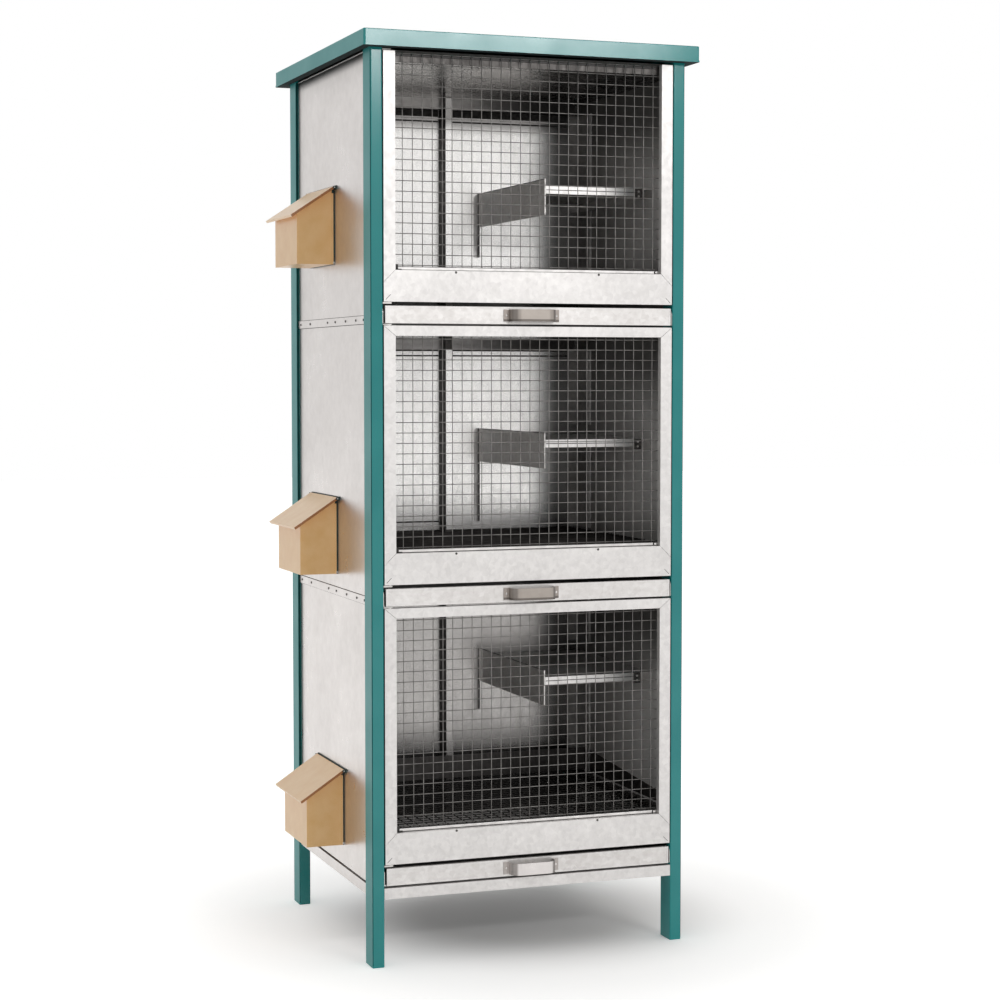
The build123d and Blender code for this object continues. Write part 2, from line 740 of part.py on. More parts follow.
def add_feeder_box(i, name):
    """Four boards of a feeder: two sloping cheeks, the outer board and the bottom between them."""
    base = feeder_bases[i]
    middle = feeder_middles[i]
    board_back = box_front + feeder_board
    between = feeder_width - 2 * (feeder_board + glue_line)
    outer_edge = [(box_front, base), (box_front, lid_underside(i, box_front))]
    cheek = [*outer_edge, (box_back, lid_underside(i, box_back)), (box_back, base)]
    board = [*outer_edge, (board_back, lid_underside(i, board_back)), (board_back, base)]
    bottom_width = box_back - board_back - glue_line
    with BuildPart() as box:
        for cheek_back in (middle - feeder_width / 2 + feeder_board, middle + feeder_width / 2):
            with BuildSketch(Plane.XZ.offset(-cheek_back)):
                with BuildLine():
                    Polyline(*cheek, close=True)
                make_face()
            extrude(amount=feeder_board)
        with BuildSketch(Plane.XZ.offset(-(middle + between / 2))):
            with BuildLine():
                Polyline(*board, close=True)
            make_face()
            with Locations((box_back - bottom_width / 2, base + feeder_board / 2)):
                Rectangle(bottom_width, feeder_board)
        extrude(amount=between)
    save(box, f"feeder_box_{name}")


def add_backings():
    """Plates between the feeders and the wall, each with a feed window, and a hinge strip along its top."""
    strip_face = wall_left - hinge_strip
    ear_reach = strip_face - hinge_x + lid_radius
    with BuildPart() as backings:
        for i, base in enumerate(feeder_bases):
            middle = feeder_middles[i]
            plate_top = lid_underside(i, box_back)
            strip_height = hinge_heights[i] + lid_radius + hinge_strip_rise - plate_top
            with BuildSketch(Plane.YZ.offset(box_back)):
                with Locations((middle, (base + plate_top) / 2)):
                    Rectangle(feeder_width, plate_top - base)
                with Locations(feed_window(i)):
                    Rectangle(feed_window_width, feed_window_height, mode=Mode.SUBTRACT)
            extrude(amount=feeder_backing)
            with BuildSketch(Plane.YZ.offset(strip_face)):
                with Locations((middle, plate_top + strip_height / 2)):
                    Rectangle(hinge_width, strip_height)
            extrude(amount=hinge_strip)
            for ear_back in (middle - hinge_width / 2 + ear_thickness, middle + hinge_width / 2):
                with BuildSketch(Plane.XZ.offset(-ear_back)):
                    with Locations((strip_face - ear_reach / 2, hinge_heights[i])):
                        Rectangle(ear_reach, lid_thickness)
                    with Locations((hinge_x, hinge_heights[i])):
                        Circle(hinge_rod_radius + ear_seat_play, mode=Mode.SUBTRACT)
                extrude(amount=ear_thickness)
    save(backings, "feeder_backings")


def add_hinge_rods():
    """Steel rods through the ears of the hinge strips and the lids' bored edges."""
    with BuildPart() as rods:
        for middle, height in zip(feeder_middles, hinge_heights):
            with BuildSketch(Plane.XZ.offset(-(middle + hinge_width / 2))):
                with Locations((hinge_x, height)):
                    Circle(hinge_rod_radius)
            extrude(amount=hinge_width)
    save(rods, "feeder_hinge_rods")


def add_lid(i, name):
    """A sloping lid with a rounded, bored upper edge."""
    near = feeder_middles[i] - lid_width / 2
    downhill = (-slope_cos, 0, -slope_sin)
    slope = Plane(origin=(hinge_x, near, hinge_heights[i]), x_dir=downhill, z_dir=(0, 1, 0))
    with BuildPart() as lid:
        with BuildSketch(slope):
            with Locations((lid_length / 2, 0)):
                Rectangle(lid_length, lid_thickness)
            Circle(lid_radius)
            Circle(hinge_rod_radius + hinge_play, mode=Mode.SUBTRACT)
        extrude(amount=lid_width)
    save(lid, f"feeder_lid_{name}")


add_posts()
add_roof()
add_rails()
add_side_walls()
add_back_wall()
add_pivots()
add_catches()
add_floor_supports()
add_backings()
add_hinge_rods()
for tier, tier_name in enumerate(tier_names):
    add_runners(tier_bases[tier], tier_name)
    add_tray(tier_bases[tier], tier_name)
    add_handle(tier_bases[tier], tier_name)
    add_door(tier, tier_name)
    add_floor(tier, tier_name)
    add_nest(tier, tier_name)
    add_feeder_box(tier, tier_name)
    add_lid(tier, tier_name)
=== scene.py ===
# %% [markdown]
# # A pigeon cage in three tiers
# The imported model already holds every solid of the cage: posts, roof, walls, doors, trays and feeders.
# This lesson dresses it. It sets up the camera and a plain studio, gives each sheet, post and board its
# own finish, and models what is too fine for the solids: round mesh wires, rivets, screws, hems and clips.

# %% Load the cage
import math

import bpy
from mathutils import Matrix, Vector


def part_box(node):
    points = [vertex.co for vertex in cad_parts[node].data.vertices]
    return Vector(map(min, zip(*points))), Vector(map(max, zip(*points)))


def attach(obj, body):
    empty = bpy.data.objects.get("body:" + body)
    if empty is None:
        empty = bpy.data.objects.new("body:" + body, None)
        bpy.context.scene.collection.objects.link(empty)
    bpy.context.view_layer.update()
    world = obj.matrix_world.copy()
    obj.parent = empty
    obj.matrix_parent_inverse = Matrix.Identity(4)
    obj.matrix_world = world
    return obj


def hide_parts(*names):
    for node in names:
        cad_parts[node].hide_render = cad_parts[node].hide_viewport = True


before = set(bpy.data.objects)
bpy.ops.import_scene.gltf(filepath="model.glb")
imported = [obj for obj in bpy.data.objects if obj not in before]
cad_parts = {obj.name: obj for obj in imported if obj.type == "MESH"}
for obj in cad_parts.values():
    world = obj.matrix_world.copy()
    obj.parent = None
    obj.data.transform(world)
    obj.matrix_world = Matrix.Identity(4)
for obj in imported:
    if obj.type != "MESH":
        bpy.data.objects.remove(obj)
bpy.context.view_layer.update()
TIERS = ("bottom", "middle", "top")
MM = 0.001

# %% [markdown]
# ## Working by hand in code
# Operators act on whatever is selected, and loading leaves the solids selected, so each new piece starts
# from an empty selection. A finished piece keeps its place in its mesh and sits at the origin, the way the
# solids do, so that a pattern on Object coordinates runs on from one piece to the next.

# %% Small helpers for new pieces


def start_fresh():
    """Leave edit mode and select nothing, so that the next operator acts on the new piece alone."""
    if bpy.context.mode != "OBJECT":
        bpy.ops.object.mode_set(mode="OBJECT")
    bpy.ops.object.select_all(action="DESELECT")


def take(piece):
    """Make one piece the only selected and active one."""
    start_fresh()
    piece.select_set(True)
    bpy.context.view_layer.objects.active = piece


def settle(piece):
    """Put a piece's place, turn and size into its mesh."""
    take(piece)
    bpy.ops.object.transform_apply(location=True, rotation=True, scale=True)


def open_faces(piece, wanted):
    """Go into edit mode with just the faces selected that a test picks."""
    take(piece)
    bpy.context.tool_settings.mesh_select_mode = (False, False, True)
    for part in (piece.data.vertices, piece.data.edges):
        part.foreach_set("select", [False] * len(part))
    piece.data.polygons.foreach_set("select", [bool(wanted(face)) for face in piece.data.polygons])
    bpy.ops.object.mode_set(mode="EDIT")


def close_faces():
    """Go back to object mode."""
    bpy.ops.object.mode_set(mode="OBJECT")


def copy_at(piece, place):
    """A copy with its own mesh, at another place."""
    twin = piece.copy()
    twin.data = piece.data.copy()
    bpy.context.collection.objects.link(twin)
    twin.location = place
    return twin


def modify(piece, kind, **settings):
    """Add a modifier with its settings and apply it."""
    take(piece)
    modifier = piece.modifiers.new(kind, kind)
    for name, value in settings.items():
        setattr(modifier, name, value)
    bpy.ops.object.modifier_apply(modifier=kind)


def join(pieces, name):
    """Join pieces into one named piece that sits at the origin."""
    for piece in pieces:
        settle(piece)
    start_fresh()
    for piece in pieces:
        piece.select_set(True)
    bpy.context.view_layer.objects.active = pieces[0]
    if len(pieces) > 1:
        bpy.ops.object.join()
    pieces[0].name = name
    pieces[0].data.name = name
    return pieces[0]


def dress(piece, material, body="cage"):
    """Give a finished piece its material and its body, which for most pieces is the fixed cage."""
    piece.data.materials.clear()
    piece.data.materials.append(material)
    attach(piece, body)


def corners(node):
    """A solid's lowest and highest corner as vectors."""
    low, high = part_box(node)
    return Vector(low), Vector(high)


print("helpers ready")

# %% [markdown]
# ## The camera
# The photograph is taken from the front left, a little above the middle of the cage and level enough for
# the posts to stay nearly upright. The angle and distance come from lines on the photo whose real sizes are
# known, such as the posts and the tier spacing, so the lens is set in the same numbers.

# %% Camera at the photograph's angle
LENS_PIXELS = 2198.9
FRAME_PIXELS = 1000.0
SENSOR_MM = 36.0
CAMERA_PLACE = (-1.5408, -4.4364, 1.1756)
CAMERA_TURN = 20.107
CAMERA_DIP = 3.265

camera_data = bpy.data.cameras.new("photo_camera")
camera_data.sensor_width = SENSOR_MM
camera_data.lens = LENS_PIXELS / FRAME_PIXELS * SENSOR_MM
camera = bpy.data.objects.new("photo_camera", camera_data)
bpy.context.collection.objects.link(camera)
camera.location = CAMERA_PLACE
camera.rotation_euler = (math.radians(90 - CAMERA_DIP), 0, -math.radians(CAMERA_TURN))
bpy.context.scene.camera = camera
print("lens in mm:", round(camera_data.lens, 2))

# %% [markdown]
# ## Colour and nodes
# Colours are written as sRGB hex values, as a paint chart gives them, and turned to the linear values that
# shaders work in. One helper adds a node, sets its properties and fills its sockets, which keeps each
# material short enough to read as a recipe. Another lays a colour over the one that a finish has so far. A
# Mix node's sockets go by number, because its colour sockets share their names with its value sockets. A Map
# Range node's do too: 1 and 2 are the range that comes in, and 3 and 4 the range that goes out.

# %% Colour and node helpers
MIX_FACTOR, MIX_A, MIX_B, MIX_RESULT = 0, 6, 7, 2


def linear(hex_colour):
    """An sRGB hex colour as linear RGBA."""
    channels = [int(hex_colour[i : i + 2], 16) / 255 for i in (1, 3, 5)]
    return (*[c / 12.92 if c <= 0.04045 else ((c + 0.055) / 1.055) ** 2.4 for c in channels], 1.0)


def fill(tree, node, sockets):
    """Fill a node's sockets with values, with sockets or with other nodes' first outputs."""
    for name, value in sockets.items():
        if isinstance(value, bpy.types.Node):
            value = value.outputs[0]
        if isinstance(value, bpy.types.NodeSocket):
            tree.links.new(value, node.inputs[name])
        else:
            node.inputs[name].default_value = value


def add_node(tree, kind, sockets=None, **settings):
    """Add a shader node of a kind, set its properties and fill its sockets."""
    node = tree.nodes.new("ShaderNode" + kind)
    for name, value in settings.items():
        setattr(node, name, value)
    fill(tree, node, sockets or {})
    return node


def start_material(name):
    """A new material, its node tree, its shader and the place of a point in Object coordinates."""
    material = bpy.data.materials.new(name)
    material.use_nodes = True
    tree = material.node_tree
    return material, tree, tree.nodes["Principled BSDF"], add_node(tree, "TexCoord").outputs["Object"]


def tint(material, amount, colour):
    """Lay a colour over the one that a finish has so far, as much as a node says."""
    tree = material.node_tree
    base = tree.nodes["Principled BSDF"].inputs["Base Color"]
    before = base.links[0].from_socket if base.links else base.default_value
    tones = {MIX_FACTOR: amount, MIX_A: before, MIX_B: linear(colour)}
    mixed = add_node(tree, "Mix", tones, data_type="RGBA")
    tree.links.new(mixed.outputs[MIX_RESULT], base)


print("teal in linear colour:", linear("#1c8f8f"))

# %% [markdown]
# ## A white studio
# The photo has a white background and a soft grey shadow under the cage. A floor that the light path lifts
# to white gives that: the lift is least right under the cage, so its shadow stays, and it grows with the
# distance, so no horizon shows. Metal sees the same white floor and walls. A long low softbox stands high in
# front on the right, where the roof's fascia mirrors it.

# %% Floor, world and lamp
FLOOR_SIZE = 40.0
UNDER_CAGE_LIFT, BESIDE_CAGE_LIFT, FAR_LIFT = 0.08, 0.42, 0.30
BESIDE_REACH, FAR_REACH = (0.20, 0.52), (0.42, 1.1)
SHADOW_MIDDLE = (0.14, 0.0, 0.0)
STUDIO_LIGHT = 0.50
WHITE = (1, 1, 1, 1)
LAMP_PLACE = Vector((1.44, -4.8, 2.62))
LAMP_TARGET = Vector((0, 0, 1.2))
LAMP_SIZE = (1.6, 0.28)
LAMP_ENERGY = 38


def seen_rays(tree):
    """One for camera, mirrored and refracted rays, and nought for the light that falls on things."""
    path = add_node(tree, "LightPath")
    seen = path.outputs["Is Camera Ray"]
    for kind in ("Is Glossy Ray", "Is Transmission Ray"):
        seen = add_node(tree, "Math", {0: seen, 1: path.outputs[kind]}, operation="MAXIMUM")
    return seen


start_fresh()
bpy.ops.mesh.primitive_plane_add(size=FLOOR_SIZE)
floor = bpy.context.object
floor.name = "studio_floor"
floor_material, tree, shader, place = start_material("matt white studio floor")
away = add_node(tree, "VectorMath", {0: place, 1: SHADOW_MIDDLE}, operation="DISTANCE").outputs["Value"]
lift = 0.0
for reach, least, most in ((BESIDE_REACH, UNDER_CAGE_LIFT, BESIDE_CAGE_LIFT), (FAR_REACH, 0.0, FAR_LIFT)):
    span = {"Value": away, 1: reach[0], 2: reach[1], 3: least, 4: most}
    step = add_node(tree, "MapRange", span, interpolation_type="SMOOTHSTEP")
    lift = add_node(tree, "Math", {0: step, 1: lift}, operation="ADD")
glow = add_node(tree, "Math", {0: lift, 1: seen_rays(tree)}, operation="MULTIPLY")
fill(tree, shader, {"Base Color": linear("#f4f3f1"), "Roughness": 0.9})
fill(tree, shader, {"Emission Color": WHITE, "Emission Strength": glow})
floor.data.materials.append(floor_material)

world = bpy.data.worlds.new("white studio")
bpy.context.scene.world = world
world.use_nodes = True
tree = world.node_tree
strength = add_node(tree, "MapRange", {"Value": seen_rays(tree), 3: STUDIO_LIGHT, 4: 1.0})
fill(tree, tree.nodes["Background"], {"Color": WHITE, "Strength": strength})

lamp_data = bpy.data.lights.new("front_softbox", "AREA")
lamp_data.shape = "RECTANGLE"
lamp_data.size, lamp_data.size_y = LAMP_SIZE
lamp_data.energy = LAMP_ENERGY
lamp = bpy.data.objects.new("front_softbox", lamp_data)
bpy.context.collection.objects.link(lamp)
lamp.location = LAMP_PLACE
lamp.rotation_euler = (LAMP_TARGET - LAMP_PLACE).to_track_quat("-Z", "Y").to_euler()
print("studio lamp:", lamp.name)

# %% [markdown]
# ## Galvanised sheet
# The walls, doors and trays are zinc-coated steel sheet. Zinc sets in flat crystals a centimetre or so
# across, and the mill rolls faint streaks into it, so the eye sees a pale metal with a soft cloudy sheen
# rather than a mirror. The recipe mixes three patterns: crystals, streaks along the sheet, and wide clouds.
# The same patterns drive the roughness, because it is the gloss more than the colour that varies. A thin
# sheet also leans and bows a little between its fixings, which shows only in what it mirrors. A picture of
# zinc could be laid on instead, but patterns in real sizes run on from sheet to sheet.

# %% Recipe for galvanised sheet
CRYSTAL_MM = 9.0
CLOUD_MM = 140.0
STREAK_WEIGHT, CLOUD_WEIGHT = 0.9, 0.8
SHEEN_SPAN = {1: 0.55, 2: 1.2}
GLOSS_SPAN = {1: 0.5, 2: 1.25}
DULLER, GLOSSIER = 0.06, 0.05
RELIEF_STRENGTH, RELIEF_DEPTH = 0.05, 0.4 * MM
BOW_HEIGHT = 1.42
BOW = 0.36


def galvanised(name, pale, dull, streak_mm, roughness, metal, crystal=0.30, lean=0.0):
    """Zinc-coated sheet: streak_mm is a streak's width along X, Y and Z, and lean tilts a sheet's sheen."""
    material, tree, shader, place = start_material(name)
    crystals = add_node(tree, "TexVoronoi", {"Vector": place, "Scale": 1 / (CRYSTAL_MM * MM)})
    grains = add_node(tree, "SeparateColor", {"Color": crystals.outputs["Color"]})
    along = add_node(tree, "Mapping", {"Vector": place, "Scale": [1 / (width * MM) for width in streak_mm]})
    rolled = add_node(tree, "TexNoise", {"Vector": along, "Scale": 1.0, "Detail": 4.0, "Roughness": 0.6})
    clouds = add_node(tree, "TexNoise", {"Vector": place, "Scale": 1 / (CLOUD_MM * MM), "Detail": 3.0})
    mixed = -crystal / 2
    for pattern, weight in ((grains, crystal), (rolled, STREAK_WEIGHT), (clouds, CLOUD_WEIGHT)):
        mixed = add_node(tree, "Math", {0: pattern, 1: weight, 2: mixed}, operation="MULTIPLY_ADD")
    sheen = add_node(tree, "MapRange", {"Value": mixed, **SHEEN_SPAN})
    ends = {3: roughness + DULLER, 4: roughness - GLOSSIER}
    gloss = add_node(tree, "MapRange", {"Value": mixed, **GLOSS_SPAN, **ends})
    relief = add_node(tree, "Bump", {"Height": mixed, "Strength": RELIEF_STRENGTH, "Distance": RELIEF_DEPTH})
    if lean:
        parts = add_node(tree, "SeparateXYZ", {0: place})
        rise = add_node(tree, "Math", {0: parts.outputs["X"], 1: lean}, operation="MULTIPLY")
        above = add_node(tree, "Math", {0: parts.outputs["Z"], 1: BOW_HEIGHT}, operation="SUBTRACT")
        upper = add_node(tree, "Math", {0: above, 1: 0.0}, operation="MAXIMUM")
        square = add_node(tree, "Math", {0: upper, 1: upper}, operation="MULTIPLY")
        shape = add_node(tree, "Math", {0: square, 1: BOW / 2, 2: rise}, operation="MULTIPLY_ADD")
        bow = add_node(tree, "Bump", {"Height": shape, "Strength": 1.0, "Distance": 1.0})
        fill(tree, relief, {"Normal": bow})
    fill(tree, shader, {"Base Color": linear(dull), "Roughness": gloss, "Normal": relief, "Metallic": metal})
    tint(material, sheen, pale)
    return material


print("crystals of", CRYSTAL_MM, "mm and clouds of", CLOUD_MM, "mm")

# %% [markdown]
# ## The cage's galvanised sheets
# The sheets are alike when new: the outer ones stay pale, and those near the birds grow dull with use. Some
# finishes are darker or lighter copies that paint shade and light: the channels, ceiling and upright are
# darker for shade, the upper handles darker for shade and the lowest one lighter for light. Each could have
# a recipe of its own, but one recipe with other colours, streaks and gloss keeps them a family. The words
# above each finish say what it gives the eye.

# %% Galvanised finishes
# The outer walls have a cloudy, even sheen, with hardly any crystals left to see.
wall_zinc = galvanised("galvanised wall sheet", "#d8d3d0", "#cdc8c5", (22, 22, 22), 0.30, 0.90, 0.1)
# Door and tray sheet is nearly white, and its short mottle breaks up any mirror image.
door_zinc = galvanised("bright galvanised door sheet", "#ebe8e6", "#d8d5d3", (12, 12, 14), 0.40, 0.50)
tray_zinc = galvanised("bright galvanised tray sheet", "#e6e3e1", "#cfcbc8", (16, 8, 9), 0.38, 0.60)
# The upper handles are painted a warm, darker zinc for shade, and the lowest one a lighter zinc for light.
shaded_strap = galvanised("zinc strap, painted darker for shade", "#aca49d", "#9a928b", (30, 30, 30), 0.30, 0.85, 0.1)
lit_strap = galvanised("zinc strap, painted lighter for light", "#d7d2d0", "#c8c3c1", (30, 30, 30), 0.30, 0.85, 0.1)
# The back sheets are polished enough to mirror the white room through the doors.
back_zinc = galvanised(
    "polished galvanised back sheet", "#f8f6f4", "#ebe9e7", (14, 14, 40), 0.21, 0.96, crystal=0.2, lean=0.135
)
# Channels and ceiling are painted greyer for shade, with a blurred mirror image.
channel_zinc = galvanised("galvanised channel", "#b4b1af", "#979492", (40, 12, 6), 0.32, 0.85)
inner_zinc = galvanised("galvanised inner sheet, greyer for painted shade", "#a6a39f", "#918e8b", (30, 30, 30), 0.25, 0.92)
# The upright, the floor's bearers and bars and the ceiling's fold are dark, streaked along their height; on
# the upright's flank and on the fold the dark is painted shade.
shade_zinc = galvanised("dark zinc, painted shade", "#605d5b", "#4b4846", (6, 6, 60), 0.42, 0.70)
# The nest sheets look pale where light falls on them, and the angles are a matt, darker grey.
shelf_zinc = galvanised("weathered galvanised shelf sheet", "#eae7e5", "#d6d3d1", (16, 16, 16), 0.36, 0.70)
angle_zinc = galvanised("matt grey zinc angle", "#b5b2b0", "#9b9896", (10, 10, 30), 0.55, 0.30)
print("galvanised finishes:", [m.name for m in bpy.data.materials if "galvanised" in m.name])

# %% [markdown]
# ## Dull faces and painted shade
# Rain and rubbing keep the outside of a sheet bright, and its inside gathers dust. Both faces belong to one
# solid, so the finish asks where a point lies, or which way its face points, and mixes a second colour in
# there. Shade is painted on in bands as well: darker colours that fade out at both ends.

# %% Helpers for dull faces and painted shade
FACING = 0.7
DRY = 0.25
DUSTY_METAL = 0.35


def place_along(tree, axis):
    """Where a point lies along one axis, in metres."""
    place = add_node(tree, "TexCoord").outputs["Object"]
    return add_node(tree, "SeparateXYZ", {0: place}).outputs[axis]


def faces_along(tree, direction, both_ways=False):
    """One on faces that point in a direction, or in its opposite too, and nought on the others."""
    normal = add_node(tree, "NewGeometry").outputs["Normal"]
    pair = {0: normal, 1: direction}
    turned = add_node(tree, "VectorMath", pair, operation="DOT_PRODUCT").outputs["Value"]
    if both_ways:
        turned = add_node(tree, "Math", {0: turned}, operation="ABSOLUTE")
    return add_node(tree, "Math", {0: turned, 1: FACING}, operation="GREATER_THAN")


def roughen(material, amount, more):
    """Make a finish rougher, as much as a node says."""
    tree = material.node_tree
    rough = tree.nodes["Principled BSDF"].inputs["Roughness"]
    terms = {0: amount, 1: more, 2: rough.links[0].from_socket}
    tree.links.new(add_node(tree, "Math", terms, operation="MULTIPLY_ADD").outputs[0], rough)


def dull_and_shade_inside(material, axis, middle, half_width, colour):
    """Mix a colour into a sheet and roughen it where a point is nearer than half_width to the middle along
    one axis; a dark colour there is painted shade.
    """
    tree = material.node_tree
    shader = tree.nodes["Principled BSDF"]
    offset = add_node(tree, "Math", {0: place_along(tree, axis), 1: middle}, operation="SUBTRACT")
    reach = add_node(tree, "Math", {0: offset}, operation="ABSOLUTE")
    inside = add_node(tree, "Math", {0: reach, 1: half_width}, operation="LESS_THAN")
    tint(material, inside, colour)
    roughen(material, inside, DRY)
    bare = shader.inputs["Metallic"].default_value
    fill(tree, shader, {"Metallic": add_node(tree, "MapRange", {"Value": inside, 3: bare, 4: DUSTY_METAL})})
    return inside


def paint_shade(material, axis, low, high, fade, colour, share, only=1.0):
    """Paint shade: mix a share of a darker colour into a finish between two places along an axis, fading at
    both ends.
    """
    tree = material.node_tree
    place = place_along(tree, axis)
    amount = only
    for start, end, before, after in ((low - fade, low, 0.0, share), (high, high + fade, 1.0, 0.0)):
        span = {"Value": place, 1: start, 2: end, 3: before, 4: after}
        slope = add_node(tree, "MapRange", span, interpolation_type="SMOOTHSTEP")
        amount = add_node(tree, "Math", {0: slope, 1: amount}, operation="MULTIPLY")
    tint(material, amount, colour)


print("a face counts up to", round(math.degrees(math.acos(FACING))), "degrees off its direction")

# %% [markdown]
# ## Painted shade inside the cage
# The back sheets are painted dark beside the trays, darker in the bottom tier and under the roof, and darker
# towards the nest corner, and so are the channels and the ceiling there: all of it is painted shade. The
# polished side is inside: the face that stands against the room's wall is weathered. The strip that ties
# each nest plate to the back is painted dark for shade. Shade could be painted on by hand, but the sheets
# lie square to the axes, so a band along one axis is enough.

# %% Painted shade on the back sheets, channels and nest strips
FAR = 9.0
SHARP = 0.3 * MM
ROOF_SHADE, ROOF_SHADE_FADE = 45 * MM, 38 * MM
OUTER_SKIN = 0.5 * MM
TAIL_DEPTHS = (12 * MM, 2 * MM)
# where the painted shade in the nest corner is full, and over what length it fades
CORNER_SHADE = (
    (back_zinc, 318 * MM, 70 * MM),
    (channel_zinc, 300 * MM, 330 * MM),
    (inner_zinc, 320 * MM, 330 * MM),
)

back_face, back_outside = [corner.y for corner in corners("back_wall_left")]
channel_top = corners("back_channels")[1].z
tray_zones = [(corners(f"tray_{tier}")[0].z, corners(f"floor_mesh_{tier}")[0].z) for tier in TIERS]
# Painted shade: dark beside the trays, darker in the bottom tier and under the roof.
for bottom, top in tray_zones:
    paint_shade(back_zinc, "Z", bottom, top, SHARP, "#3a3836", 0.9)
paint_shade(back_zinc, "Z", tray_zones[0][1], tray_zones[1][0], SHARP, "#8d8a88", 0.8)
paint_shade(back_zinc, "Z", channel_top - ROOF_SHADE, FAR, ROOF_SHADE_FADE, "#625f5d", 0.8)
# Painted shade towards the nest corner, on the back sheets, channels and ceiling.
for sheet, full, fade in CORNER_SHADE:
    paint_shade(sheet, "X", full, FAR, fade, "#3a3837", 0.85)
dull_and_shade_inside(back_zinc, "Y", back_outside, OUTER_SKIN, "#d3cecb")
tail_front, tail_back = [back_face - depth for depth in TAIL_DEPTHS]
# Painted shade on the strip that ties each nest plate to the back.
paint_shade(shelf_zinc, "Y", tail_front, tail_back, SHARP, "#211f1e", 0.9)
print("back sheets from", round(back_face, 4), "to", round(back_outside, 4), "in y")

# %% [markdown]
# ## Painted shade on the side sheets
# The roof's overhang casts a shadow on the side sheets, which is painted in as a dark band. Inside they are
# dusty, and painted darker towards the top of each tier and towards the back, for shade. One finish covers
# both faces, so the test that dulls the inside also keeps the inner bands off the outside.

# %% Painted shade on the side sheets
EAVES_FADE = 75 * MM
EAVES_DARK, EAVES_DARK_FADE = 4 * MM, 23 * MM
TIER_BELOW, TIER_ABOVE, TIER_FADE = 60 * MM, 30 * MM, 170 * MM
REAR_START, REAR_FADE = 190 * MM, 330 * MM
soffit = corners("roof_cap")[0].z
left_wall = corners("side_wall_left_bottom")
right_wall = corners("side_wall_right_bottom")
MIDDLE_X = (left_wall[0].x + right_wall[1].x) / 2
WALL_MIDDLE = (right_wall[0].x + right_wall[1].x) / 2 - MIDDLE_X

# Painted shadow of the roof's overhang: soft, and then dark right under it.
paint_shade(wall_zinc, "Z", soffit, FAR, EAVES_FADE, "#9d9996", 0.3)
paint_shade(wall_zinc, "Z", soffit - EAVES_DARK, FAR, EAVES_DARK_FADE, "#2b2927", 0.95)
wall_inside = dull_and_shade_inside(wall_zinc, "X", MIDDLE_X, WALL_MIDDLE, "#e6e3e1")
# Painted shade inside: darker under the top of each tier and towards the back.
for top in (tray_zones[1][0], tray_zones[2][0], corners("ceiling_sheet")[0].z):
    paint_shade(wall_zinc, "Z", top - TIER_BELOW, top + TIER_ABOVE, TIER_FADE, "#4a4846", 0.85, wall_inside)
paint_shade(wall_zinc, "Y", REAR_START, FAR, REAR_FADE, "#6f6c6a", 0.6, wall_inside)
print("middle of the cage in x:", round(MIDDLE_X, 5))

# %% [markdown]
# ## Painted shade on the doors, trays and handles
# A door's frame is painted dark behind its mesh, and a tray is painted dark inside, for shade. A handle is a
# bent strap, and its tabs, bends and lower edge are painted darker for shade. These are bands too, set from
# the solids' own boxes, so that they stay in place when a size changes.

# %% Painted shade on the doors, trays and handles
TRAY_FRONT_DEPTH = 9 * MM
TAB_DEPTH = 2.2 * MM
LEFT_BEND, RIGHT_BEND = (14 * MM, 19 * MM), (18 * MM, 14 * MM)
BEND_FADE = 5 * MM
GRIP_SHADE_BELOW, GRIP_SHADE_ABOVE = 1 * MM, 4.4 * MM
mesh_back = corners("door_mesh_top")[1].y
tray_low, tray_high = corners("tray_bottom")
grip_low, grip_high = corners("tray_handle_top")

# Painted shade on the door frames behind the mesh.
paint_shade(door_zinc, "Y", mesh_back, FAR, SHARP, "#2c2a29", 1.0)
tray_middle = (tray_low.y + tray_high.y) / 2
# Painted shade inside the trays.
dull_and_shade_inside(tray_zinc, "Y", tray_middle, (tray_high.y - tray_low.y) / 2 - TRAY_FRONT_DEPTH, "#2e2b29")
bends = ([grip_low.x + reach for reach in LEFT_BEND], [grip_high.x - reach for reach in RIGHT_BEND])
# Painted shade on the handles' tabs, bends and lower edge.
for strap in (shaded_strap, lit_strap):
    paint_shade(strap, "Y", tray_low.y - TAB_DEPTH, FAR, SHARP, "#8f8782", 0.7)
    for bend in bends:
        paint_shade(strap, "X", *bend, BEND_FADE, "#6b6561", 0.75)
for tier in TIERS[1:]:
    grip_base = corners(f"tray_handle_{tier}")[0].z
    paint_shade(shaded_strap, "Z", grip_base - GRIP_SHADE_BELOW, grip_base + GRIP_SHADE_ABOVE, SHARP, "#5f5955", 0.85)
print("handle bends in x:", [[round(x, 4) for x in bend] for bend in bends])

# %% [markdown]
# ## Teal powder coat
# The posts and the roof cap are painted in teal powder coat. Powder melts and levels in the oven, and it
# leaves a fine orange-peel surface with a soft gloss. A little colour drift along the length keeps the long
# posts from looking like plastic. The coat is thinner and more matt on the flanks, and the underside of the
# roof is dark and matt, as painted shade, so the finish looks at which way a face points.

# %% Teal powder coat
DRIFT_MM = 110.0
# Real peel is nearer to 1 mm across, and is drawn coarser so that it shows.
PEEL_MM = 2.4
PEEL_STRENGTH, PEEL_DEPTH = 0.08, 0.3 * MM
DRIFT_SPAN = {1: 0.3, 2: 0.7}
PAINT_GLOSS = {3: 0.19, 4: 0.13}
FLANK_MATT, UNDERSIDE_MATT = 0.25, 0.8


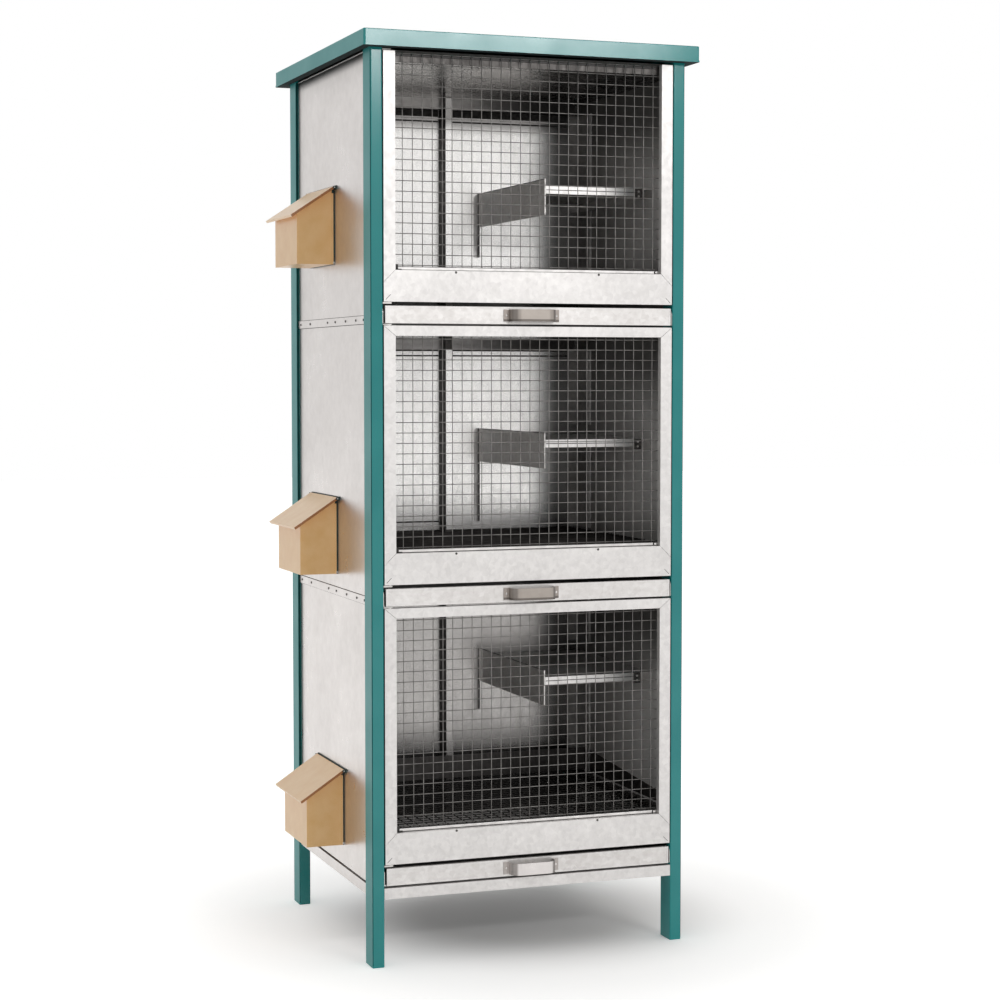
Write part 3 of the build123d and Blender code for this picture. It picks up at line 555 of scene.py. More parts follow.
def powder_coat(name):
    """Teal powder coat with matt flanks."""
    material, tree, shader, place = start_material(name)
    drift = add_node(tree, "TexNoise", {"Vector": place, "Scale": 1 / (DRIFT_MM * MM), "Detail": 4.0})
    peel = add_node(tree, "TexNoise", {"Vector": place, "Scale": 1 / (PEEL_MM * MM), "Detail": 2.0})
    tone = add_node(tree, "MapRange", {"Value": drift, **DRIFT_SPAN})
    gloss = add_node(tree, "MapRange", {"Value": drift, **DRIFT_SPAN, **PAINT_GLOSS})
    relief = add_node(tree, "Bump", {"Height": peel, "Strength": PEEL_STRENGTH, "Distance": PEEL_DEPTH})
    fill(tree, shader, {"Base Color": linear("#1c8f8f"), "Specular IOR Level": 0.42})
    fill(tree, shader, {"Roughness": gloss, "Normal": relief})
    tint(material, tone, "#289998")
    roughen(material, faces_along(tree, (1, 0, 0), both_ways=True), FLANK_MATT)
    return material


teal = powder_coat("teal powder coat")
roof_teal = powder_coat("teal powder coat, painted shade below")
# The roof's underside is painted dark for shade.
shade_below = faces_along(roof_teal.node_tree, (0, 0, -1))
tint(roof_teal, shade_below, "#061f20")
roughen(roof_teal, shade_below, UNDERSIDE_MATT)
print("paints:", teal.name, roof_teal.name)

# %% [markdown]
# ## Tan fibre board
# The feeders are sawn from smooth fibre board with a clear seal. Its face is an even tan with a faint
# mottle of fibres, with no ring grain, and the seal gives it a low sheen. The lids are thin, and the saw has
# browned their two side edges, so there the finish looks at which way a face points.

# %% Tan fibre board
MOTTLE_MM = 33.0
# Real fibres are finer than this, and are drawn coarser so that they show.
FIBRE_MM = 1.4
FIBRE_STRENGTH, FIBRE_DEPTH = 0.1, 0.2 * MM
FIBRE_WEIGHT = 0.5
TAN_SPAN = {1: 0.55, 2: 0.95}


def fibre_board(name, pale, tan):
    """Sealed fibre board between two tans."""
    material, tree, shader, place = start_material(name)
    mottle = add_node(tree, "TexNoise", {"Vector": place, "Scale": 1 / (MOTTLE_MM * MM), "Detail": 5.0})
    fibres = add_node(tree, "TexNoise", {"Vector": place, "Scale": 1 / (FIBRE_MM * MM), "Detail": 3.0})
    both = add_node(tree, "Math", {0: fibres, 1: FIBRE_WEIGHT, 2: mottle}, operation="MULTIPLY_ADD")
    tone = add_node(tree, "MapRange", {"Value": both, **TAN_SPAN})
    relief = add_node(tree, "Bump", {"Height": fibres, "Strength": FIBRE_STRENGTH, "Distance": FIBRE_DEPTH})
    fill(tree, shader, {"Base Color": linear(tan), "Normal": relief, "Roughness": 0.45})
    fill(tree, shader, {"Coat Weight": 0.6, "Coat Roughness": 0.3})
    tint(material, tone, pale)
    return material


board = fibre_board("sealed tan fibre board", "#fcce90", "#f4c17c")
lid_board = fibre_board("sawn tan fibre board", "#ffd7a2", "#f8ca8e")
tint(lid_board, faces_along(lid_board.node_tree, (0, 1, 0), both_ways=True), "#a8672b")
print("boards:", board.name, lid_board.name)

# %% [markdown]
# ## Wire, pins and plastic
# The mesh is hot-dipped wire, whose zinc dries a little rough. Screws and pins are bright plated steel, and
# old rivets go dark. The foot plugs and catches are black moulded plastic, and the plates behind the feeders
# are dark green board, nearly black in the shade. A pattern hardly shows on pieces this small, so one recipe
# with a faint drift of colour and gloss serves them all.

# %% Wire, pins and plastic
EVEN_SPAN = {1: 0.35, 2: 0.65}
GLOSS_DRIFT = 0.08


def plain_finish(name, light, dark, drift_mm, roughness, metal):
    """A nearly even finish: a fine noise drifts the colour and the gloss."""
    material, tree, shader, place = start_material(name)
    noise = add_node(tree, "TexNoise", {"Vector": place, "Scale": 1 / (drift_mm * MM), "Detail": 3.0})
    tone = add_node(tree, "MapRange", {"Value": noise, **EVEN_SPAN})
    ends = {3: roughness + GLOSS_DRIFT, 4: roughness - GLOSS_DRIFT}
    gloss = add_node(tree, "MapRange", {"Value": noise, **ends})
    fill(tree, shader, {"Base Color": linear(dark), "Roughness": gloss, "Metallic": metal})
    tint(material, tone, light)
    return material


# Door wire looks grey against the bright back sheets, and the floor wire is painted nearly black for shade.
wire_zinc = plain_finish("hot-dipped mesh wire", "#928f8c", "#757270", 17.0, 0.45, 0.5)
floor_wire = plain_finish("floor wire, painted dark for shade", "#3d3a38", "#2a2725", 17.0, 0.55, 0.5)
# Plating glints on screws and pins, and aged rivets are dark dots.
plated = plain_finish("bright plated steel", "#d6d3d0", "#b0adaa", 11.0, 0.30, 0.9)
aged_steel = plain_finish("darkened rivet steel", "#6d6a67", "#454341", 6.0, 0.45, 0.8)
# A rolled hem is a soft bright line. Dark lines are dirt in the doors' seams, and painted shade along other
# edges and in gaps.
hem_zinc = plain_finish("rolled zinc hem", "#e9e6e4", "#d4d1cf", 20.0, 0.35, 0.6)
seam_dirt_and_shade = plain_finish("dirt in seams, and painted shade lines", "#4a4846", "#2f2d2c", 9.0, 0.8, 0.0)
# Dark matt teal, without the coat's reflection, paints shade on the posts.
shade_teal = plain_finish("dark teal for painted shade", "#0b4646", "#083a3a", 30.0, 0.6, 0.0)
shade_teal.node_tree.nodes["Principled BSDF"].inputs["Specular IOR Level"].default_value = 0.1
# Green board and black plastic are even and dark, with a faint sheen.
green_board = plain_finish("dark green board", "#12302f", "#0b2322", 25.0, 0.6, 0.0)
black_plastic = plain_finish("black moulded plastic", "#1b1b1b", "#121212", 8.0, 0.5, 0.0)
print("plain finishes:", wire_zinc.name, plated.name, green_board.name, black_plastic.name)

# %% [markdown]
# ## Finishes on the solids
# Each solid gets the finish of the real piece, with some finishes painted darker for shade and one lighter
# for light. The outer walls, doors and trays are bright, the back sheet is polished enough to mirror the
# open front, and the sheets inside are duller, with the channels, ceiling and upright painted darker for
# shade. One table pairs each finish with its solids, and the count at its end shows that none is missed.

# %% Finishes on the solids


def each_tier(*names):
    """The nodes of a kind on every tier."""
    return [f"{name}_{tier}" for name in names for tier in TIERS]


finishes = {
    teal: [f"post_{end}_{side}" for end in ("front", "rear") for side in ("left", "right")]
    + ["top_rails_cross", "top_rails_side"],
    roof_teal: ["roof_cap"],
    wall_zinc: each_tier("side_wall_left", "side_wall_right")
    + ["joint_straps_left", "joint_straps_right", "bottom_rails_side", "bottom_rail_rear"],
    back_zinc: ["back_wall_left", "back_wall_right"],
    # Channels and ceiling get greyer zinc as painted shade.
    channel_zinc: ["back_channels"],
    inner_zinc: ["ceiling_sheet"],
    # The upright's dark zinc paints the shade on its flank.
    shade_zinc: ["back_mullion", "floor_bearers", "floor_bars"],
    door_zinc: each_tier("door_frame") + ["bottom_rail_front"],
    tray_zinc: each_tier("tray", "tray_runners"),
    # Handles: the darker strap is painted shade, and the lighter one painted light.
    shaded_strap: [f"tray_handle_{tier}" for tier in TIERS[1:]],
    lit_strap: ["tray_handle_bottom"],
    plated: ["door_pivots", "feeder_hinge_rods"],
    shelf_zinc: each_tier("nest_shelf", "nest_plate"),
    board: each_tier("feeder_box"),
    lid_board: each_tier("feeder_lid"),
    green_board: ["feeder_backings"],
    black_plastic: ["foot_plugs", "door_catches"],
    wire_zinc: each_tier("door_mesh"),
    # Floor wire: painted dark for shade.
    floor_wire: each_tier("floor_mesh"),
}
for material, nodes in finishes.items():
    for node in nodes:
        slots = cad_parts[node].data.materials
        slots.clear()
        slots.append(material)
print("solids finished:", sum(len(nodes) for nodes in finishes.values()), "of", len(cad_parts))

# %% [markdown]
# ## Welded mesh on the doors
# The solids hold the mesh as square bars, which is enough for contact. The real mesh is round wire, welded
# where the upright wires cross the level ones. One wire is modelled, with its cut ends chamfered, and an
# array repeats it at the mesh's pitch, which keeps every gap even. The two layers meet in the middle of the
# solid's two layers, where the welds are.

# %% Wires of the door mesh
DOOR_PITCH = 20.6 * MM
SOLID_WIRE = 2.0 * MM
DOOR_WIRE = 1.7 * MM
WIRE_SIDES = 8
WIRE_CHAMFER = 0.2
AXIS_TURNS = {"X": (0, math.pi / 2, 0), "Y": (math.pi / 2, 0, 0), "Z": (0, 0, 0)}


def wires(first, length, along, step, count, thickness):
    """Parallel round wires: first is the middle of the first one, and step leads to the next."""
    start_fresh()
    bpy.ops.mesh.primitive_cylinder_add(
        vertices=WIRE_SIDES, radius=thickness / 2, depth=length, location=first, rotation=AXIS_TURNS[along]
    )
    wire = bpy.context.object
    settle(wire)
    open_faces(wire, lambda face: len(face.vertices) == WIRE_SIDES)
    bpy.ops.mesh.bevel(offset=thickness * WIRE_CHAMFER, segments=1, affect="EDGES")
    close_faces()
    bpy.ops.object.shade_smooth_by_angle(angle=math.radians(50))
    pitch = {"use_relative_offset": False, "use_constant_offset": True, "constant_offset_displace": step}
    if count > 1:
        modify(wire, "ARRAY", count=count, **pitch)
    return wire


def wire_count(length, thickness, pitch):
    """Wires that fit side by side at a pitch within a length."""
    return int(round((length - thickness) / pitch, 3)) + 1


for tier in TIERS:
    low, high = corners(f"door_mesh_{tier}")
    middle = (low + high) / 2
    columns = wire_count(high.x - low.x, SOLID_WIRE, DOOR_PITCH)
    rows = wire_count(high.z - low.z, SOLID_WIRE, DOOR_PITCH)
    first_upright = (middle.x - (columns - 1) / 2 * DOOR_PITCH, middle.y - DOOR_WIRE / 2, middle.z)
    first_level = (middle.x, middle.y + DOOR_WIRE / 2, middle.z - (rows - 1) / 2 * DOOR_PITCH)
    uprights = wires(first_upright, high.z - low.z, "Z", (DOOR_PITCH, 0, 0), columns, DOOR_WIRE)
    levels = wires(first_level, high.x - low.x, "X", (0, 0, DOOR_PITCH), rows, DOOR_WIRE)
    mesh = join([uprights, levels], f"door_wires_{tier}")
    dress(mesh, wire_zinc, f"door_{tier}")
    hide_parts(f"door_mesh_{tier}")
    print(mesh.name, columns, "uprights and", rows, "levels")

# %% [markdown]
# ## Wire floors
# The birds stand on the same kind of mesh, laid flat, and its wire is painted dark for shade. Its middle
# wire and its last rows stop at the upright on the back wall, as the solid's notch does. A notch could be
# cut out of a whole mesh, but that would leave open ends, so the wires are laid in runs that end at the
# notch.

# %% Wires of the floors
FLOOR_PITCH = 20 * MM
FLOOR_WIRE = 2.0 * MM
NOTCH_GAP = 1.0 * MM
mullion_low, mullion_high = corners("back_mullion")
notch_left = mullion_low.x - NOTCH_GAP
notch_right = mullion_high.x + NOTCH_GAP
notch_front = mullion_low.y - NOTCH_GAP
NEXT_ROW = (0, FLOOR_PITCH, 0)

for tier in TIERS:
    low, high = corners(f"floor_mesh_{tier}")
    middle = (low + high) / 2
    columns = wire_count(high.x - low.x, FLOOR_WIRE, FLOOR_PITCH)
    rows = wire_count(high.y - low.y, FLOOR_WIRE, FLOOR_PITCH)
    first_y = middle.y - (rows - 1) / 2 * FLOOR_PITCH
    whole_rows = sum(first_y + row * FLOOR_PITCH < notch_front - FLOOR_WIRE / 2 for row in range(rows))
    short_y = first_y + whole_rows * FLOOR_PITCH
    lower = low.z + FLOOR_WIRE / 2
    upper = high.z - FLOOR_WIRE / 2
    pieces = []
    for step in (-FLOOR_PITCH, FLOOR_PITCH):
        start = (middle.x + step, middle.y, lower)
        pieces.append(wires(start, high.y - low.y, "Y", (step, 0, 0), columns // 2, FLOOR_WIRE))
    start = (middle.x, (low.y + notch_front) / 2, lower)
    pieces.append(wires(start, notch_front - low.y, "Y", (0, 0, 0), 1, FLOOR_WIRE))
    pieces.append(wires((middle.x, first_y, upper), high.x - low.x, "X", NEXT_ROW, whole_rows, FLOOR_WIRE))
    for left_end, right_end in ((low.x, notch_left), (notch_right, high.x)):
        start = ((left_end + right_end) / 2, short_y, upper)
        pieces.append(wires(start, right_end - left_end, "X", NEXT_ROW, rows - whole_rows, FLOOR_WIRE))
    mesh = join(pieces, f"floor_wires_{tier}")
    dress(mesh, floor_wire, "cage")
    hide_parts(f"floor_mesh_{tier}")
    print(mesh.name, columns, "runs and", rows, "crossings")

# %% [markdown]
# ## Rivets and screws
# A rivet head is a short cylinder with its rim rounded over. A screw head has a recess as well, made by an
# inset that is pushed down. Each is modelled once, facing up, and copies are turned to face out of the sheet
# that they hold.

# %% Rivet and screw heads
HEAD_SIDES = 14
UPWARD = 0.9
HEAD_ROUNDING = 0.75
RECESS_RIM = 0.3
RECESS_DEPTH = 0.6
FLUSH = 1e-6


def rivet_head(radius, height):
    """A domed head that stands on the XY plane and faces up."""
    start_fresh()
    bpy.ops.mesh.primitive_cylinder_add(
        vertices=HEAD_SIDES, radius=radius, depth=height, location=(0, 0, height / 2)
    )
    head = bpy.context.object
    settle(head)
    open_faces(head, lambda face: face.normal.z > UPWARD)
    bpy.ops.mesh.bevel(offset=height * HEAD_ROUNDING, segments=2, affect="EDGES")
    close_faces()
    bpy.ops.object.shade_smooth_by_angle(angle=math.radians(40))
    return head


def screw_head(radius, height):
    """A rivet head with a round recess in its top."""
    head = rivet_head(radius, height)
    top = max(face.center.z for face in head.data.polygons)
    open_faces(head, lambda face: face.normal.z > UPWARD and face.center.z > top - FLUSH)
    bpy.ops.mesh.inset(thickness=radius * RECESS_RIM, depth=0)
    bpy.ops.mesh.extrude_region_move(TRANSFORM_OT_translate={"value": (0, 0, -height * RECESS_DEPTH)})
    close_faces()
    return head


def heads_at(head, places, name, facing=(0, -1, 0)):
    """Copies of a head at many places, turned to face one way and joined into one piece."""
    turn = Vector((0, 0, 1)).rotation_difference(Vector(facing)).to_euler()
    copies = []
    for spot in places:
        twin = copy_at(head, spot)
        twin.rotation_euler = turn
        copies.append(twin)
    return join(copies, name)


strap_rivet = rivet_head(2.6 * MM, 1.4 * MM)
small_screw = screw_head(2.4 * MM, 1.3 * MM)
bar_screw = screw_head(4.2 * MM, 2.2 * MM)
print("heads:", [len(head.data.polygons) for head in (strap_rivet, small_screw, bar_screw)])

# %% [markdown]
# ## Folded edges on the side sheets
# The side sheets are hemmed at the front edge, beside the post, and along the top, under the roof. The hem
# is a narrow doubled strip, so it starts as a box of that size and its edges are rounded over. The same
# bar, made very thin, draws the dirt in a seam. The sheet's own edge could be folded, but the solids are
# kept as they are, so the hem is laid on.

# %% Folded edges on the side sheets
HEM_THICKNESS = 0.8 * MM
HEM_EDGE = HEM_THICKNESS * 0.4
FRONT_HEM = 7 * MM
TOP_HEM = 2.2 * MM
OUTSIDES = (("left", left_wall[0].x, -1), ("right", right_wall[1].x, 1))


def rounded_bar(corner, opposite, radius):
    """A box between two opposite corners with all its edges rounded over."""
    corner, opposite = Vector(corner), Vector(opposite)
    start_fresh()
    bpy.ops.mesh.primitive_cube_add(size=1.0, location=(corner + opposite) / 2)
    bar = bpy.context.object
    bar.scale = [abs(length) for length in opposite - corner]
    settle(bar)
    open_faces(bar, lambda face: True)
    bpy.ops.mesh.bevel(offset=radius, segments=2, affect="EDGES")
    close_faces()
    return bar


for side, wall_x, outward in OUTSIDES:
    low, high = corners(f"side_wall_{side}_bottom")
    outer_x = wall_x + outward * HEM_THICKNESS
    hem_back = low.y + FRONT_HEM
    front_hem = rounded_bar((wall_x, low.y, low.z), (outer_x, hem_back, soffit), HEM_EDGE)
    top_hem = rounded_bar((wall_x, hem_back, soffit - TOP_HEM), (outer_x, high.y, soffit), HEM_EDGE)
    hems = join([front_hem, top_hem], f"wall_hems_{side}")
    dress(hems, hem_zinc)
    print(hems.name, "front and top")

# %% [markdown]
# ## Rivets along the joint straps
# Each strap over a joint of the side sheets is held by seven rivets, unevenly spaced as they were drilled,
# and a line of painted shade runs along its upper and lower edge. The rivets are copies of one head. The
# shade could be a band in the finish, but a strap's edge is too thin for that, so a thin dark bar lies along
# it.

# %% Rivets along the joint straps
RIVET_SHARES = (0.04, 0.19, 0.46, 0.575, 0.725, 0.87, 0.975)
STRAP_HEIGHT = 16 * MM
EDGE_LINE = Vector((0.5, 0, 1.1)) * MM
LINE_EDGE = 0.2 * MM
for side, wall_x, outward in OUTSIDES:
    low, high = corners(f"joint_straps_{side}")
    strap_x = low.x if side == "left" else high.x
    places = []
    edges = []
    for tier in TIERS[1:]:
        strap_base = corners(f"tray_{tier}")[0].z
        for share in RIVET_SHARES:
            places.append((strap_x, high.y + (low.y - high.y) * share, strap_base + STRAP_HEIGHT / 2))
        # Dark bars of painted shade along the strap's edges.
        for z in (strap_base - EDGE_LINE.z / 2, strap_base + STRAP_HEIGHT + EDGE_LINE.z / 2):
            front_end = Vector((wall_x, low.y, z)) - EDGE_LINE / 2
            back_end = Vector((wall_x, high.y, z)) + EDGE_LINE / 2
            edges.append(rounded_bar(front_end, back_end, LINE_EDGE))
    rivets = heads_at(strap_rivet, places, f"strap_rivets_{side}", (outward, 0, 0))
    dress(rivets, aged_steel, "cage")
    dress(join(edges, f"strap_edges_{side}"), seam_dirt_and_shade)
    print(rivets.name, len(places), "and", len(edges), "edges")

# %% [markdown]
# ## Corners of the posts
# A thin dark line of painted shade runs down the outer front corner of each post. The rear posts are painted
# dark beside the side sheets too, and the front ones behind the gap at each side of a door, as shade. A band
# in the paint would miss so narrow an edge, so all are thin bars, and a corner's bar is turned by 45 degrees
# to lie on the rounding.

# %% Corners of the posts
POST_CORNER = 3 * MM
CORNER_LINE = Vector((1.3, 0.3, 0)) * MM
SHADE_WIDTH = (0.6 * MM, 5.2 * MM)
SHADE_DEPTH = (0.3 * MM, 0.1 * MM)
SHADE_TOP_GAP = 0.5 * MM
GAP_SHADE = 0.4 * MM
GAP_SETBACK = 0.5 * MM
FOOT_GAP = 4 * MM
THIN_EDGE = 0.1 * MM
inset = POST_CORNER * (1 - math.cos(math.pi / 4))
# Thin dark teal bars of painted shade on the posts' corners, beside the side sheets and beside the doors.
shade_bars = []
for end in ("front", "rear"):
    for side, inward in (("left", 1), ("right", -1)):
        low, high = corners(f"post_{end}_{side}")
        outer, inner = (low.x, high.x) if side == "left" else (high.x, low.x)
        height = Vector((0, 0, (soffit - low.z) / 2 - FOOT_GAP))
        corner_bar = rounded_bar(-CORNER_LINE / 2 - height, CORNER_LINE / 2 + height, THIN_EDGE)
        corner_bar.location = (outer + inward * inset, low.y + inset, (low.z + soffit) / 2)
        corner_bar.rotation_euler = (0, 0, -inward * math.pi / 4)
        shade_bars.append(corner_bar)
        if end == "rear":
            near_x, far_x = [outer + inward * width for width in SHADE_WIDTH]
            wall_base = corners(f"side_wall_{side}_bottom")[0].z
            front_end = (near_x, low.y - SHADE_DEPTH[0], wall_base)
            back_end = (far_x, low.y + SHADE_DEPTH[1], soffit - SHADE_TOP_GAP)
            shade_bars.append(rounded_bar(front_end, back_end, THIN_EDGE))
            continue
        for tier in TIERS:
            door_low, door_high = corners(f"door_frame_{tier}")
            front_end = (inner, door_low.y + GAP_SETBACK, door_low.z)
            back_end = (inner + inward * GAP_SHADE, door_high.y, door_high.z)
            shade_bars.append(rounded_bar(front_end, back_end, THIN_EDGE))
dark_lines = len(shade_bars)
dress(join(shade_bars, "post_shade_lines"), shade_teal, "cage")
print("dark lines on the posts:", dark_lines)

# %% [markdown]
# ## Hemmed tray fronts and their handle screws
# A tray front is folded over all round, which leaves a slightly raised border. A plane of the front's size
# is inset, its middle is deleted, and the frame that is left is thickened and rounded. Four bars could make
# it, but an inset keeps one width all round and closes the corners. Each handle tab is held by one screw.

# %% Tray hems and handle screws
TRAY_FRONT = 35 * MM
TRAY_HEM = 3.2 * MM
TRAY_HEM_RISE = 0.5 * MM
TRAY_HEM_MARGIN = 1 * MM
TRAY_HEM_LIFT = 0.02 * MM
HANDLE_STRAP = 2.0 * MM
TAB_SCREW = 5.5 * MM
for tier in TIERS:
    low, high = corners(f"tray_{tier}")
    front_top = low.z + TRAY_FRONT
    start_fresh()
    bpy.ops.mesh.primitive_plane_add(size=1.0, rotation=(math.pi / 2, 0, 0))
    hem = bpy.context.object
    hem.scale = (high.x - low.x - TRAY_HEM_MARGIN, front_top - low.z - TRAY_HEM_MARGIN, 1)
    hem.location = ((low.x + high.x) / 2, low.y - TRAY_HEM_LIFT, (low.z + front_top) / 2)
    settle(hem)
    open_faces(hem, lambda face: True)
    bpy.ops.mesh.inset(thickness=TRAY_HEM, depth=0)
    bpy.ops.mesh.delete(type="FACE")
    close_faces()
    modify(hem, "SOLIDIFY", thickness=TRAY_HEM_RISE, offset=1.0)
    modify(hem, "BEVEL", width=LINE_EDGE, segments=2)
    hem.name = f"tray_hem_{tier}"
    dress(hem, door_zinc, f"tray_{tier}")

    grip_low, grip_high = corners(f"tray_handle_{tier}")
    screw_z = (grip_low.z + grip_high.z) / 2
    tabs = (grip_low.x + TAB_SCREW, grip_high.x - TAB_SCREW)
    places = [(x, grip_high.y - HANDLE_STRAP, screw_z) for x in tabs]
    screws = heads_at(small_screw, places, f"handle_screws_{tier}")
    dress(screws, plated, f"tray_{tier}")
print("trays hemmed:", len(TIERS))

# %% [markdown]
# ## Seams and clips on the doors
# The bottom rail of a door is folded in at its outer corners, and dirt settles in the two short slanting
# seams. Two small clips below the sill hold the mesh's lowest wire. A seam could be cut into the rail, but a
# thin dark bar that is turned by 45 degrees looks the same, and a screw head stands for each clip.

# %% Seams and clips on the doors
SEAM = Vector((14, 0.24, 0.9)) * MM
SEAM_EDGE = 0.06 * MM
SEAM_INSET = 4 * MM
CLIP_PLACES_MM = (-159, 146)
CLIP_DROP = 3.2 * MM
DOOR_BOTTOM_RAIL = 62 * MM
reach = SEAM_INSET + SEAM.x / 2 * math.cos(math.pi / 4)
for tier in TIERS:
    low, high = corners(f"door_frame_{tier}")
    seams = []
    for outer_x, inward in ((low.x, 1), (high.x, -1)):
        seam = rounded_bar(-SEAM / 2, SEAM / 2, SEAM_EDGE)
        seam.location = (outer_x + inward * reach, low.y, low.z + reach)
        seam.rotation_euler = (0, -inward * math.pi / 4, 0)
        seams.append(seam)
    dress(join(seams, f"door_seams_{tier}"), seam_dirt_and_shade, f"door_{tier}")

    clip_z = low.z + DOOR_BOTTOM_RAIL - CLIP_DROP
    places = [(MIDDLE_X + x * MM, low.y, clip_z) for x in CLIP_PLACES_MM]
    clips = heads_at(small_screw, places, f"sill_clips_{tier}")
    dress(clips, aged_steel, f"door_{tier}")
print("doors marked:", len(TIERS))

# %% [markdown]
# ## Strips along the sills
# A bright strip lies on each door's bottom rail, in front of the mesh, and holds the wire ends down. Lines
# of painted shade run along its two long edges, a dark hook holds its left end and a screw with a washer its
# right end. All of it moves with the door, and rounded bars and copies of the heads make it, since each
# piece is small.

# %% Strips along the sills
STILE = 24 * MM
STRIP_END_GAP = 1 * MM
STRIP_BASE, STRIP_TOP = 1.3 * MM, 6.4 * MM
STRIP_FRONT, STRIP_BACK = 2.6 * MM, 0.3 * MM
STRIP_EDGE = 0.5 * MM
LINE = 1.1 * MM
LINE_SETBACK = 0.4 * MM
HOOK_UPRIGHT = Vector((4.6, 3.0, 11.5)) * MM
HOOK_FOOT = Vector((12, 3.0, 2.4)) * MM
HOOK_INSET = 2.4 * MM
HOOK_RISE = 0.2 * MM
BLUNT_EDGE = 0.6 * MM
SCREW_INSET = 6 * MM
WASHER_HEIGHT = 1.6 * MM
for tier in TIERS:
    low, high = corners(f"door_frame_{tier}")
    sill = low.z + DOOR_BOTTOM_RAIL
    left_end = low.x + STILE + STRIP_END_GAP
    right_end = high.x - STILE - STRIP_END_GAP
    mesh_front = corners(f"door_mesh_{tier}")[0].y
    front, rear = mesh_front - STRIP_FRONT, mesh_front - STRIP_BACK
    start = (left_end, front, sill + STRIP_BASE)
    strip = rounded_bar(start, (right_end, rear, sill + STRIP_TOP), STRIP_EDGE)
    dark = []
    # Dark bars of painted shade along the strip's two long edges.
    for base in (sill + STRIP_BASE - LINE, sill + STRIP_TOP):
        start = (left_end, front + LINE_SETBACK, base)
        dark.append(rounded_bar(start, (right_end, rear, base + LINE), LINE_EDGE))
    start = Vector((left_end + HOOK_INSET, front - HOOK_FOOT.y, sill + HOOK_RISE))
    for size in (HOOK_UPRIGHT, HOOK_FOOT):
        dark.append(rounded_bar(start, start + size, BLUNT_EDGE))
    screw_place = Vector((right_end - SCREW_INSET, front, sill + (STRIP_BASE + STRIP_TOP) / 2))
    dark.append(heads_at(bar_screw, [screw_place], "washer"))
    dress(join(dark, f"sill_lines_{tier}"), seam_dirt_and_shade, f"door_{tier}")
    screw_place.y -= WASHER_HEIGHT
    screw = heads_at(strap_rivet, [screw_place], "screw")
    dress(join([strip, screw], f"sill_strips_{tier}"), hem_zinc, f"door_{tier}")
print("sill strips:", len(TIERS))

# %% [markdown]
# ## Angles in the back corners
# An upright angle of matt grey sheet closes each back corner of the cage, one leg on the back sheet and a
# wider one on the side sheet. On the right it stops above and below the nest shelf. The front edge of the
# wide leg is folded into a bright hem. An L could be extruded in one piece, but two rounded bars that meet
# in the corner look the same, and they are easily ended at the shelf.

# %% Angles in the back corners
BACK_LEG = 24 * MM
SIDE_LEG = 80 * MM
ANGLE_SHEET = 1.0 * MM
ANGLE_EDGE = ANGLE_SHEET * 0.4
ANGLE_HEM = 13 * MM
END_GAP = 1 * MM
BELOW_SHELF = 2 * MM
ABOVE_SHELF = 22 * MM
CHANNEL_HEIGHT = 24 * MM
CHANNEL_DROP = 19.5 * MM
channel_tops = [tray_zones[1][0] - CHANNEL_DROP, tray_zones[2][0] - CHANNEL_DROP, channel_top]
channel_bases = [top - CHANNEL_HEIGHT for top in channel_tops]
hem_front = back_face - SIDE_LEG
hem_back = hem_front + ANGLE_HEM
for side, wall_x, inward in (("left", left_wall[1].x, 1), ("right", right_wall[0].x, -1)):
    legs = []
    hems = []
    for tier, channel_base in zip(TIERS, channel_bases):
        stops = [corners(f"floor_mesh_{tier}")[1].z + END_GAP, channel_base - END_GAP]
        if side == "right":
            shelf_low, shelf_high = corners(f"nest_shelf_{tier}")
            stops[1:1] = [shelf_low.z - BELOW_SHELF, shelf_high.z + ABOVE_SHELF]
        for bottom, top in zip(stops[::2], stops[1::2]):
            foot = (wall_x, back_face, bottom)
            back_end = (wall_x + inward * BACK_LEG, back_face - ANGLE_SHEET, top)
            side_end = (wall_x + inward * ANGLE_SHEET, hem_back, top)
            hem_end = (wall_x + inward * 2 * ANGLE_SHEET, hem_front, top)
            legs.append(rounded_bar(foot, back_end, ANGLE_EDGE))
            legs.append(rounded_bar(foot, side_end, ANGLE_EDGE))
            hems.append(rounded_bar((wall_x, hem_back, bottom), hem_end, ANGLE_EDGE))
    dress(join(legs, f"corner_angles_{side}"), angle_zinc)
    dress(join(hems, f"corner_hems_{side}"), hem_zinc)
print("corner angles on both sides")

# %% [markdown]
# ## Borders on the back sheets
# Under each channel the back sheets end in a folded border: a gap painted dark for shade, a bright strip and
# a thin dark line of painted shade. The middle tier has a bright strip along its foot as well, with a dark
# line of painted shade above it, and the upright over the joint of the two sheets has a bright cover strip
# on its face, which leaves its flank in the dark zinc that paints its shade. They could be bands in the
# finish, but a folded strip stands out of the sheet and catches light on its edge, so each is a thin rounded
# bar.

# %% Borders on the back sheets
BORDER_RISE = 1.0 * MM
BORDER_EDGE = BORDER_RISE * 0.3
GAP_HEIGHTS = {"middle": 4 * MM, "top": 14 * MM}
BORDER_STRIP = 9 * MM
BORDER_LINE = 3 * MM
FOOT_STRIP = (8 * MM, 17 * MM)
MULLION_GAP = 1 * MM
COVER_SIDES = (0.3 * MM, 1.4 * MM)
COVER_DEPTH = (0.5 * MM, 0.2 * MM)
COVER_RISE = 3 * MM
left_sheet = (left_wall[1].x + BACK_LEG, mullion_low.x - MULLION_GAP)
right_sheet = (mullion_high.x + MULLION_GAP, right_wall[0].x - BACK_LEG)
dark = []
bright = []


def border(pile, sheet, bottom, top):
    """Lay a border strip across a back sheet, between two heights."""
    pile.append(
        rounded_bar((sheet[0], back_face - BORDER_RISE, bottom), (sheet[1], back_face, top), BORDER_EDGE)
    )


